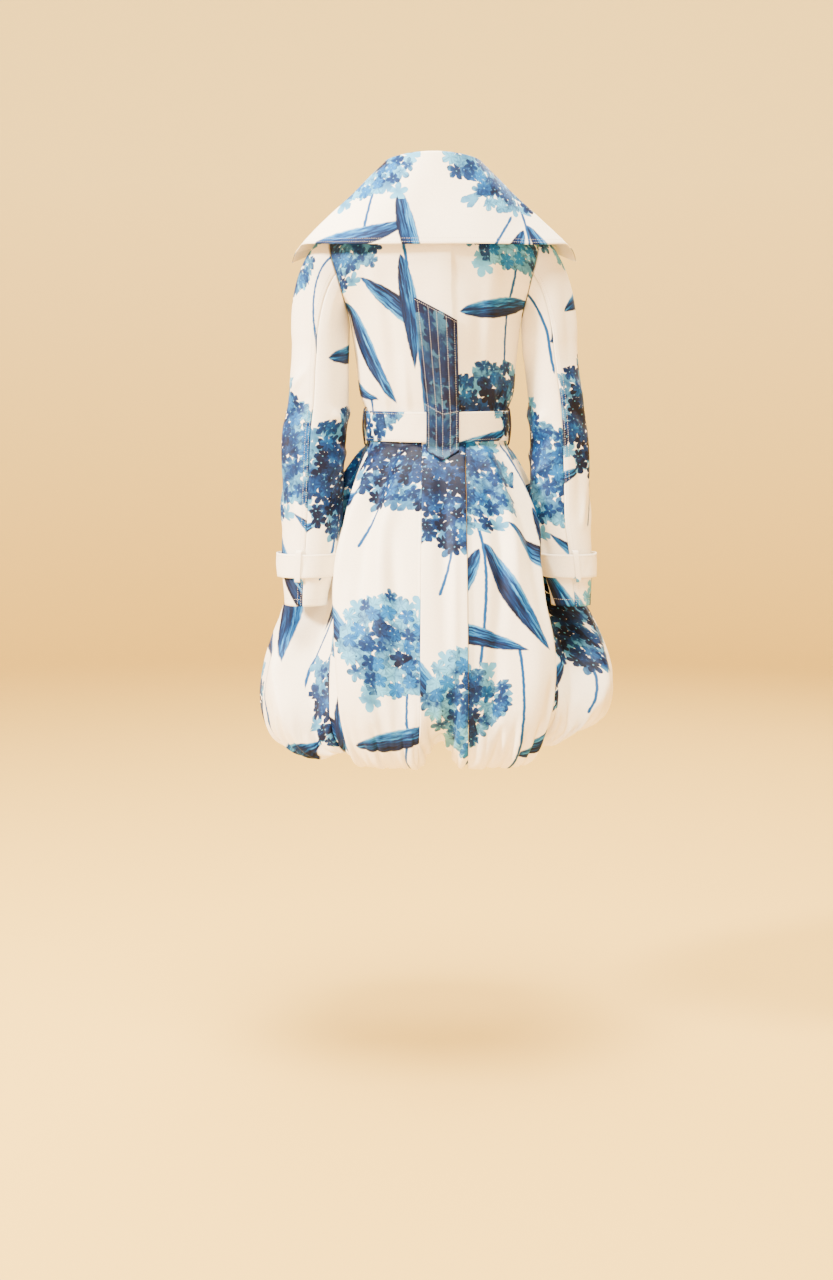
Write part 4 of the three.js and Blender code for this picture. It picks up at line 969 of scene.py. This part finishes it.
# foot x, foot y, angle in degrees, length, width, bend
leaves = [
    (0.17, 0.44, -60, 0.23, 0.040, 0.5), (0.16, 0.43, -124, 0.18, 0.036, -0.6),
    (0.33, 0.69, -50, 0.24, 0.040, 0.5), (0.36, 0.36, 140, 0.18, 0.036, -0.5),
    (0.40, 0.40, 14, 0.19, 0.038, 0.7), (0.03, 0.30, -14, 0.22, 0.038, -0.6),
    (0.25, 0.06, 20, 0.17, 0.034, 0.5), (0.56, 0.50, -76, 0.18, 0.034, 0.4),
    (0.30, 0.50, -84, 0.20, 0.032, -0.4)]
stems = [
    (0.155, 0.22, 88, 0.27, 0.0072, 0.9), (0.49, 0.29, 84, 0.22, 0.0066, -0.8),
    (0.34, 0.20, 97, 0.44, 0.0068, 0.8), (0.42, 0.01, 76, 0.13, 0.0066, 0.6),
    (0.05, 0.30, 60, 0.18, 0.0062, -0.6), (0.25, 0.01, 96, 0.25, 0.0066, 0.7)]
print(len(flower_heads), "heads,", len(leaves), "leaves,", len(stems), "stems")

# %% [markdown]
# A leaf or a stem has its own coordinates: one length along it and half a width across it. A bend moves
# the middle sideways. A leaf's width follows a sine, so it is pointed at both ends, and streaks along it
# carry the colour from navy through blue to sky and aqua, as a loaded brush does.

# %% Leaves and stems
def own_place(tree, place, foot_x, foot_y, angle, long, half_wide):
    """Share along the leaf or stem, from 0 to 1, and half widths across it."""
    own = node(tree, "Mapping", {0: place, 1: (foot_x, foot_y, 0), 2: (0, 0, float(np.radians(angle))),
                                 3: (long, half_wide, 1)}, vector_type="TEXTURE")[0]
    along, across, _ = node(tree, "SeparateXYZ", [own])
    return node(tree, "Clamp", [along])[0], across


def bent(tree, t, across, bend):
    """Distance across from the bent middle line, which bows by t times (1 minus t) times the bend."""
    left = node(tree, "Math", [1.0, t], operation="SUBTRACT")[0]
    bow = node(tree, "Math", [t, left], operation="MULTIPLY")[0]
    return bow, node(tree, "Math", [bow, bend, across], operation="MULTIPLY_ADD")[0]


def paint_stem(tree, place, colour, foot_x, foot_y, angle, long, wide, bend):
    """A thin line, sky at its edges and blue in the middle, that starts and ends softly."""
    t, across = own_place(tree, place, foot_x, foot_y, angle, long, wide / 2)
    bow, across = bent(tree, t, across, bend * 9.0)
    off = node(tree, "Math", [across], operation="ABSOLUTE")[0]
    width = node(tree, "Math", [bow, 30.0], operation="MULTIPLY", use_clamp=True)[0]
    inside = node(tree, "Math", [width, off], operation="SUBTRACT")[0]
    inside = node(tree, "Math", [inside, 3.0], operation="MULTIPLY", use_clamp=True)[0]
    edge = node(tree, "Math", [off, 0.5, 0.2], operation="MULTIPLY_ADD", use_clamp=True)[0]
    shade = node(tree, "Mix", {0: edge, 6: BLUE, 7: SKY}, data_type="RGBA")[2]
    return node(tree, "Mix", {0: inside, 6: colour, 7: shade}, data_type="RGBA")[2]


def paint_leaf(tree, place, colour, foot_x, foot_y, angle, long, wide, bend):
    """A lance: its width is the sine of pi times t to the power 0.8, taken to the power 0.75."""
    t, across = own_place(tree, place, foot_x, foot_y, angle, long, wide / 2)
    _, across = bent(tree, t, across, bend * 2.2)
    off = node(tree, "Math", [across], operation="ABSOLUTE")[0]
    turn = node(tree, "Math", [t, 0.8], operation="POWER")[0]
    # Just short of pi, so that the sine never falls below 0
    turn = node(tree, "Math", [turn, 3.14159], operation="MULTIPLY")[0]
    width = node(tree, "Math", [turn], operation="SINE")[0]
    width = node(tree, "Math", [width, 0.75], operation="POWER")[0]
    inside = node(tree, "Math", [width, off], operation="SUBTRACT")[0]
    inside = node(tree, "Math", [inside, 9.0], operation="MULTIPLY", use_clamp=True)[0]
    long_way = node(tree, "Math", [t, 2.5], operation="MULTIPLY")[0]
    cross_way = node(tree, "Math", [across, 3.2], operation="MULTIPLY")[0]
    streak_at = node(tree, "CombineXYZ", [long_way, cross_way, foot_x * 50])[0]
    streak = node(tree, "TexNoise", {"Vector": streak_at, "Scale": 1.6, "Detail": 3.0})[0]
    streak = node(tree, "Math", [streak, 0.5], operation="SUBTRACT")[0]
    half = node(tree, "Math", [across, 0.5, 0.52], operation="MULTIPLY_ADD")[0]
    tone = node(tree, "Math", [streak, 2.4, half], operation="MULTIPLY_ADD", use_clamp=True)[0]
    shade = node(tree, "Mix", {0: tone, 6: NAVY, 7: BLUE}, data_type="RGBA")[2]
    # Above tone 0.5 sky comes in, and above 0.85 the wettest streaks are aqua
    for above, times, paint in ((0.5, 2.0, SKY), (0.85, 3.0, AQUA)):
        part = node(tree, "Math", [tone, above], operation="SUBTRACT")[0]
        part = node(tree, "Math", [part, times], operation="MULTIPLY", use_clamp=True)[0]
        shade = node(tree, "Mix", {0: part, 6: shade, 7: paint}, data_type="RGBA")[2]
    return node(tree, "Mix", {0: inside, 6: colour, 7: shade}, data_type="RGBA")[2]


# %% [markdown]
# The flowers come from a Voronoi pattern. Its cells give each flower a middle, and the angle and distance
# from that middle draw five petals. A cell is in a head when its middle lies in the head's circle, so a
# flower is never cut in half. Three layers lie over each other: a pale ground of large flowers, and two
# of smaller ones with a dark edge, a vein and a light heart.

# %% Flowers
# Voronoi scale (cells of 29, 24 and 27 mm), petal length, place of the pattern, and what a head adds
flower_layers = [
    (34.0, 0.0205, (0.013, 0.007, 0), 0.008), (41.0, 0.0165, (0.004, 0.019, 0), 0.002),
    (37.0, 0.0155, (0, 0, 0), -0.004)]
HEART = 0.0012  # radius of a flower's light heart, in metres


def petals(tree, place, scale, petal):
    """Five petals: their length is 0.4 plus 0.62 times the absolute cosine of 2.5 times the angle, to the
    power 0.7, all times the flower's size."""
    cell = node(tree, "TexVoronoi", {"Vector": place, "Scale": scale, "Randomness": 0.75},
                voronoi_dimensions="2D")
    middle, chance = cell["Position"], node(tree, "SeparateColor", [cell["Color"]])
    arm = node(tree, "VectorMath", [place, middle], operation="SUBTRACT")[0]
    arm_x, arm_y, _ = node(tree, "SeparateXYZ", [arm])
    away = node(tree, "VectorMath", [place, middle], operation="DISTANCE")[1]
    turn = node(tree, "Math", [arm_y, arm_x], operation="ARCTAN2")[0]
    turn = node(tree, "Math", [chance[0], 6.283, turn], operation="MULTIPLY_ADD")[0]
    turn = node(tree, "Math", [turn, 2.5], operation="MULTIPLY")[0]
    lobe = node(tree, "Math", [turn], operation="COSINE")[0]
    lobe = node(tree, "Math", [lobe], operation="ABSOLUTE")[0]
    lobe = node(tree, "Math", [lobe, 0.7], operation="POWER")[0]
    lobe = node(tree, "Math", [lobe, 0.62, 0.4], operation="MULTIPLY_ADD")[0]
    size = node(tree, "Math", [chance[1], petal * 0.3, petal * 0.85], operation="MULTIPLY_ADD")[0]
    reach = node(tree, "Math", [lobe, size], operation="MULTIPLY")[0]
    return middle, chance, away, lobe, reach


def in_heads(tree, middle, ragged, moved, wider):
    """Whether the middle is in a head, and how dark it is there: darker towards the head's middle."""
    heads, dark = 0.0, 0.0
    for head_x, head_y, radius, dark_share in flower_heads:
        head_at = (head_x + moved[0], head_y + moved[1], 0)
        far = node(tree, "VectorMath", [middle, head_at], operation="DISTANCE")[1]
        edge = node(tree, "Math", [ragged, 0.022, far], operation="MULTIPLY_ADD")[0]
        inner = node(tree, "Math", [edge, radius + wider], operation="LESS_THAN")[0]
        heads = node(tree, "Math", [heads, inner], operation="MAXIMUM")[0]
        share = node(tree, "Math", [far, radius], operation="DIVIDE")[0]
        deeper = node(tree, "Math", [share, -0.45, dark_share + 0.18], operation="MULTIPLY_ADD")[0]
        dark = node(tree, "Math", [inner, deeper, dark], operation="MULTIPLY_ADD")[0]
    return heads, dark


def small_flower(tree, tone, away, tip, lobe, pale):
    """Pale to blue to navy by tone, with a light heart, a dark edge and a dark vein in each petal."""
    twice = node(tree, "Math", [tone, 2.0], operation="MULTIPLY", use_clamp=True)[0]
    deep = node(tree, "Math", [tone, 2.0, -0.95], operation="MULTIPLY_ADD", use_clamp=True)[0]
    heart = node(tree, "Math", [away, HEART], operation="LESS_THAN")[0]
    heart = node(tree, "Math", [heart, 0.6], operation="MULTIPLY")[0]
    edge = node(tree, "Math", [tip, 0.94, 0.07], operation="COMPARE")[0]
    edge = node(tree, "Math", [edge, 0.55], operation="MULTIPLY")[0]
    vein = node(tree, "Math", [lobe, 1.005], operation="GREATER_THAN")[0]
    vein = node(tree, "Math", [vein, 0.35], operation="MULTIPLY")[0]
    shade = pale
    for share, paint in ((twice, BLUE), (deep, NAVY), (heart, AQUA), (edge, NAVY), (vein, NAVY)):
        shade = node(tree, "Mix", {0: share, 6: shade, 7: paint}, data_type="RGBA")[2]
    return shade


def paint_flowers(tree, place, colour, wash):
    """Lays the three layers of flowers over the colour."""
    wash = node(tree, "Math", [wash, 1.8, -1.0], operation="MULTIPLY_ADD")[0]
    for layer, (scale, petal, moved, wider) in enumerate(flower_layers):
        shifted = node(tree, "VectorMath", [place, moved], operation="ADD")[0]
        middle, chance, away, lobe, reach = petals(tree, shifted, scale, petal)
        inside = node(tree, "Math", [reach, away], operation="SUBTRACT")[0]
        inside = node(tree, "Math", [inside, 1400.0], operation="MULTIPLY", use_clamp=True)[0]
        heads, dark = in_heads(tree, middle, chance[2], moved, wider)
        inside = node(tree, "Math", [inside, heads], operation="MULTIPLY")[0]
        tone = node(tree, "Math", [chance[0], 0.6, dark], operation="MULTIPLY_ADD")[0]
        tone = node(tree, "Math", [tone, wash], operation="ADD")[0]
        least = node(tree, "Math", [reach, 0.001], operation="MAXIMUM")[0]
        tip = node(tree, "Math", [away, least], operation="DIVIDE")[0]
        tone = node(tree, "Math", [tip, -0.24, tone], operation="MULTIPLY_ADD", use_clamp=True)[0]
        if layer == 0:
            shade = node(tree, "Mix", {0: tone, 6: AQUA, 7: BLUE}, data_type="RGBA")[2]
        else:
            shade = small_flower(tree, tone, away, tip, lobe, SKY if layer == 2 else AQUA)
        if layer == 2:
            # One flower in about six is left out of the top layer
            kept = node(tree, "Math", [chance[2], 0.18], operation="GREATER_THAN")[0]
            inside = node(tree, "Math", [inside, kept], operation="MULTIPLY")[0]
        colour = node(tree, "Mix", {0: inside, 6: colour, 7: shade}, data_type="RGBA")[2]
    return colour


# %% [markdown]
# The whole print: the place on the flat cloth is shaken by up to 2 mm, so that no edge is quite straight,
# and wrapped into one repeat. `fade` lays the ground colour over the print, for the reverse, where it
# shows through weakly, and for the tab, which is cut from the darkest cloth.

# %% Printed colour
def flower_print(tree, flat, ground, fade):
    """Returns the colour of the printed cloth at a place on the flat cloth."""
    # Specks of 4 mm, coarser than the real ones of 1 mm, washes of 38 mm and a wobble of 10 mm
    grain = node(tree, "TexNoise", {"Vector": flat, "Scale": 260.0, "Detail": 2.0})[0]
    wash = node(tree, "TexNoise", {"Vector": flat, "Scale": 26.0, "Detail": 3.0, "Roughness": 0.6})[0]
    wobble = node(tree, "TexNoise", {"Vector": flat, "Scale": 95.0, "Detail": 2.0})[1]
    wobble = node(tree, "VectorMath", [wobble, (0.5, 0.5, 0.5)], operation="SUBTRACT")[0]
    wobble = node(tree, "VectorMath", {0: wobble, "Scale": 0.0035}, operation="SCALE")[0]
    shaken = node(tree, "VectorMath", [flat, wobble], operation="ADD")[0]
    x, y, _ = node(tree, "SeparateXYZ", [shaken])
    x = node(tree, "Math", [x, REPEAT[0], 0.0], operation="WRAP")[0]
    y = node(tree, "Math", [y, REPEAT[1], 0.0], operation="WRAP")[0]
    place = node(tree, "CombineXYZ", [x, y])[0]
    colour = ground
    for stem in stems:
        colour = paint_stem(tree, place, colour, *stem)
    for leaf in leaves:
        colour = paint_leaf(tree, place, colour, *leaf)
    colour = paint_flowers(tree, place, colour, wash)
    if fade:
        colour = node(tree, "Mix", {0: fade, 6: colour, 7: ground}, data_type="RGBA")[2]
    speck = node(tree, "Math", [grain, 0.16, 0.92], operation="MULTIPLY_ADD")[0]
    speck = node(tree, "CombineColor", [speck, speck, speck])[0]
    return node(tree, "Mix", {0: 1.0, 6: colour, 7: speck}, data_type="RGBA", blend_type="MULTIPLY")[2]


# %% [markdown]
# The weave is a fine twill, whose ribs lie about 1 mm apart. That is below a pixel here, so the ribs are
# drawn 4 mm apart and kept faint: they break up the highlights and no more. Two slower noises stand for
# the crumples of worn cloth, 24 mm and about 110 mm from one to the next. A bump is enough for all
# three, because none of them changes the outline.

# %% Cloth
# Cotton and silk, woven as a twill, printed and pressed: smooth, nearly matt, with a trace of sheen
def woven_cloth(name, ground, fade=0.0, rough=0.55):
    """Printed colour, a faint twill bump, a soft sheen and small creases in the surface."""
    material = bpy.data.materials.new(name)
    material.use_nodes = True
    tree = material.node_tree
    surface = tree.nodes["Principled BSDF"]
    flat = node(tree, "UVMap", uv_map="cloth")[0]
    surface.inputs["Roughness"].default_value = rough
    surface.inputs["IOR"].default_value = 1.46
    surface.inputs["Specular IOR Level"].default_value = 0.22
    surface.inputs["Sheen Weight"].default_value = 0.02
    surface.inputs["Sheen Roughness"].default_value = 0.4
    tree.links.new(flower_print(tree, flat, ground, fade), surface.inputs["Base Color"])
    twill = node(tree, "TexWave", {"Vector": flat, "Scale": 112.0, "Distortion": 0.6, "Detail": 1.0},
                 bands_direction="DIAGONAL")[1]
    crumple = node(tree, "TexNoise", {"Vector": flat, "Scale": 42.0, "Detail": 4.0, "Roughness": 0.55,
                                      "Distortion": 0.4})[0]
    slow = node(tree, "TexNoise", {"Vector": flat, "Scale": 9.0, "Detail": 3.0})[0]
    bump = node(tree, "Bump", {"Strength": 0.10, "Distance": 0.0004, "Height": twill})[0]
    bump = node(tree, "Bump", {"Strength": 0.22, "Distance": 0.0012, "Height": crumple, "Normal": bump})[0]
    bump = node(tree, "Bump", {"Strength": 0.5, "Distance": 0.005, "Height": slow, "Normal": bump})[0]
    tree.links.new(bump, surface.inputs["Normal"])
    return material


printed = woven_cloth("printed_cotton_silk_twill", CREAM)
# The wrong side of the same cloth: paler, because the ink only soaks through, and a little rougher
reverse = woven_cloth("reverse_of_printed_twill", linear("#efe3cf"), fade=0.72, rough=0.6)
# The same twill faded almost to a navy ground: the tab is cut where the print is nearly all navy, and the
# belt's loops are made dark all over with it too
dark_print = woven_cloth("dark_printed_twill", linear("#060c2a"), fade=0.72, rough=0.5)
print(len(printed.node_tree.nodes), "nodes in the printed cloth")

# %% [markdown]
# Sewing thread is spun polyester, slightly glossy, and its twist shows as a faint change of tone. The
# buttons are polyester, cast and turned, with cloudy streaks in the resin and a polished face.

# %% Thread and buttons
# Spun polyester: filaments twisted and dyed, so a soft shine is broken by the twist. The real twist
# repeats about every 1 mm, and it is drawn at 2.4 mm so that a little of it is left at this distance
def thread_material(name, colour):
    """The colour, darkened by up to 0.4 of the noise."""
    material = bpy.data.materials.new(name)
    material.use_nodes = True
    tree = material.node_tree
    surface = tree.nodes["Principled BSDF"]
    place = node(tree, "TexCoord")["Object"]
    twist = node(tree, "TexNoise", {"Vector": place, "Scale": 420.0, "Detail": 2.0})[0]
    twist = node(tree, "Math", [twist, 0.4], operation="MULTIPLY")[0]
    tone = node(tree, "Mix", {0: twist, 6: linear(colour), 7: linear("#89898e")}, data_type="RGBA")[2]
    tree.links.new(tone, surface.inputs["Base Color"])
    surface.inputs["Roughness"].default_value = 0.45
    return material


pale_thread = thread_material("cream_sewing_thread", "#d9c8aa")
tab_thread = thread_material("sand_sewing_thread", "#d6cbb8")

# Cast polyester, turned and polished: cream clouds about 8 mm wide under a clear, quite sharp shine
button_resin = bpy.data.materials.new("cast_polyester_button")
button_resin.use_nodes = True
tree = button_resin.node_tree
surface = tree.nodes["Principled BSDF"]
place = node(tree, "TexCoord")["Object"]
cloud = node(tree, "TexNoise", {"Vector": place, "Scale": 130.0, "Detail": 4.0, "Distortion": 1.2})[0]
tone = node(tree, "Mix", {0: cloud, 6: linear("#e7d9bd"), 7: linear("#f6eedd")}, data_type="RGBA")[2]
tree.links.new(tone, surface.inputs["Base Color"])
surface.inputs["Roughness"].default_value = 0.25
surface.inputs["IOR"].default_value = 1.56
surface.inputs["Coat Weight"].default_value = 0.3
bump = node(tree, "Bump", {"Strength": 0.08, "Distance": 0.0005, "Height": cloud})[0]
tree.links.new(bump, surface.inputs["Normal"])
print("finishes:", [material.name for material in (printed, reverse, dark_print, button_resin)])

# %% [markdown]
# Each piece of cloth takes two finishes: the printed side, and the reverse for the inside and the edges
# of its wall. A word in the name of a piece chooses the others.

# %% Dress the pieces
finishes = {
    "turned": [button_resin], "thread": [pale_thread], "pale_topstitching": [pale_thread],
    "tab_topstitching": [tab_thread], "back_tab": [dark_print, reverse], "belt_loop": [dark_print, reverse],
    "buckle": [printed]}
for name, piece in pieces.items():
    for material in next((own for word, own in finishes.items() if word in name), [printed, reverse]):
        piece.data.materials.append(material)
print(len(pieces), "pieces")

# %% [markdown]
# ## Camera, light and floor
# The camera stands 3.5 m behind the dress, a little above its waist, and looks 7.5 degrees down. The
# dress hangs above a plain paper floor, at the height a wearer's shoulders would give it.

# %% Camera
FOCAL_PIXELS, PICTURE_ROWS, SENSOR = 1970, 1280, 36
lens = bpy.data.cameras.new("camera")
lens.sensor_fit = "VERTICAL"
lens.sensor_height = SENSOR
lens.lens = SENSOR * FOCAL_PIXELS / PICTURE_ROWS
camera = bpy.data.objects.new("camera", lens)
camera.location = (0.036, 3.5, -0.34)
camera.rotation_euler = (np.radians(90 - 7.5), 0, np.radians(180))
bpy.context.scene.collection.objects.link(camera)
bpy.context.scene.camera = camera
print("lens", round(lens.lens, 1), "mm")

# %% [markdown]
# The floor is a sheet of paper that curves up into a low wall, so no line shows where they meet. It is
# one surface of revolution: flat, then a quarter circle, then straight up.

# %% Floor
FLOOR_Z, FLAT_RADIUS, BEND_RADIUS, WALL_HEIGHT, FLOOR_STEPS = -1540, 5000, 2000, 6500, 96
bend = np.linspace(0.1, np.pi / 2, 14)
flat_radius = np.concatenate([[1], np.linspace(500, FLAT_RADIUS, 10)])
bend_radius, wall_radius = FLAT_RADIUS + BEND_RADIUS * np.sin(bend), FLAT_RADIUS + BEND_RADIUS
radius = np.concatenate([flat_radius, bend_radius, [wall_radius]])[:, None]
height = np.concatenate([0 * flat_radius, BEND_RADIUS * (1 - np.cos(bend)), [WALL_HEIGHT]])[:, None] + FLOOR_Z
spin = np.linspace(0, 2 * np.pi, FLOOR_STEPS, endpoint=False)
rim = np.stack([radius * np.cos(spin), radius * np.sin(spin), height + 0 * spin], axis=-1)
index = np.pad(np.arange(len(rim) * FLOOR_STEPS).reshape(-1, FLOOR_STEPS), ((0, 0), (0, 1)), mode="wrap")
floor_mesh = make_mesh("floor", rim, quads(index[:, ::-1]).tolist())
floor_mesh.shade_smooth()
floor = bpy.data.objects.new("floor", floor_mesh)
bpy.context.scene.collection.objects.link(floor)

# Matt background paper of one tan colour, with painted shade: darker and deeper in colour on the floor than
# up the wall
paper = bpy.data.materials.new("pale_studio_paper")
paper.use_nodes = True
tree = paper.node_tree
place = node(tree, "TexCoord")["Object"]
above = node(tree, "SeparateXYZ", [place])[2]
# Painted shade: from 2.2 m above the floor downwards the paper grows darker and deeper in colour
above = node(tree, "Math", [above, 0.45, 0.69], operation="MULTIPLY_ADD", use_clamp=True)[0]
tone = node(tree, "Mix", {0: above, 6: linear("#d9b150"), 7: linear("#ead388")}, data_type="RGBA")[2]
tree.links.new(tone, tree.nodes["Principled BSDF"].inputs["Base Color"])
tree.nodes["Principled BSDF"].inputs["Roughness"].default_value = 0.9
floor_mesh.materials.append(paper)
print("floor", [round(v, 2) for v in floor.dimensions])

# %% [markdown]
# The key light stands far to the left and models the folds. A low one lifts the hem off the floor, three
# weak ones open the shadows, and two strong ones above are turned towards the paper.

# %% Lights
def soft_light(name, place, aim, size, power, colour):
    """Round area light at a place in metres, turned so that it shines towards the aim."""
    light = bpy.data.lights.new(name, "AREA")
    light.shape = "DISK"
    light.size, light.energy, light.color = size, power, linear(colour)[:3]
    lamp = bpy.data.objects.new(name, light)
    lamp.location = place
    lamp.rotation_euler = (Vector(aim) - Vector(place)).to_track_quat("-Z", "Y").to_euler()
    bpy.context.scene.collection.objects.link(lamp)


# name, place, aim, diameter in metres, watts, colour
lights = [
    ("key", (3.5, 1.7, 1.5), (0, 0, -0.55), 0.8, 740, "#fff8f0"),
    ("low", (0.7, 3.0, -1.15), (0, 0, -0.85), 1.0, 60, "#f4f6ff"),
    ("fill", (-2.2, 3.2, 0.4), (0, 0, -0.55), 1.8, 60, "#fff8f0"),
    ("top", (0.2, 0.4, 2.4), (0, 0, -0.5), 1.4, 110, "#fffaf4"),
    ("front", (-1.4, -3.2, 1.2), (0, 0, -0.5), 1.8, 120, "#fff4e4"),
    ("wall_front", (0, 1.0, 4.2), (0, -6, -0.5), 3.0, 1000, "#fff6e4"),
    ("wall_back", (0, -1.0, 4.2), (0, 6, -0.5), 3.0, 520, "#fff6e4")]
for light in lights:
    soft_light(*light)
world = bpy.data.worlds.new("studio")
bpy.context.scene.world = world
world.use_nodes = True
world.node_tree.nodes["Background"].inputs[0].default_value = linear("#f4e2c0")
world.node_tree.nodes["Background"].inputs[1].default_value = 0.3
print(len(lights), "lights")

# %% [markdown]
# ## Finish
# The scene is brought up to date once more, with all its cloth.

# %% Finish
bpy.context.view_layer.update()
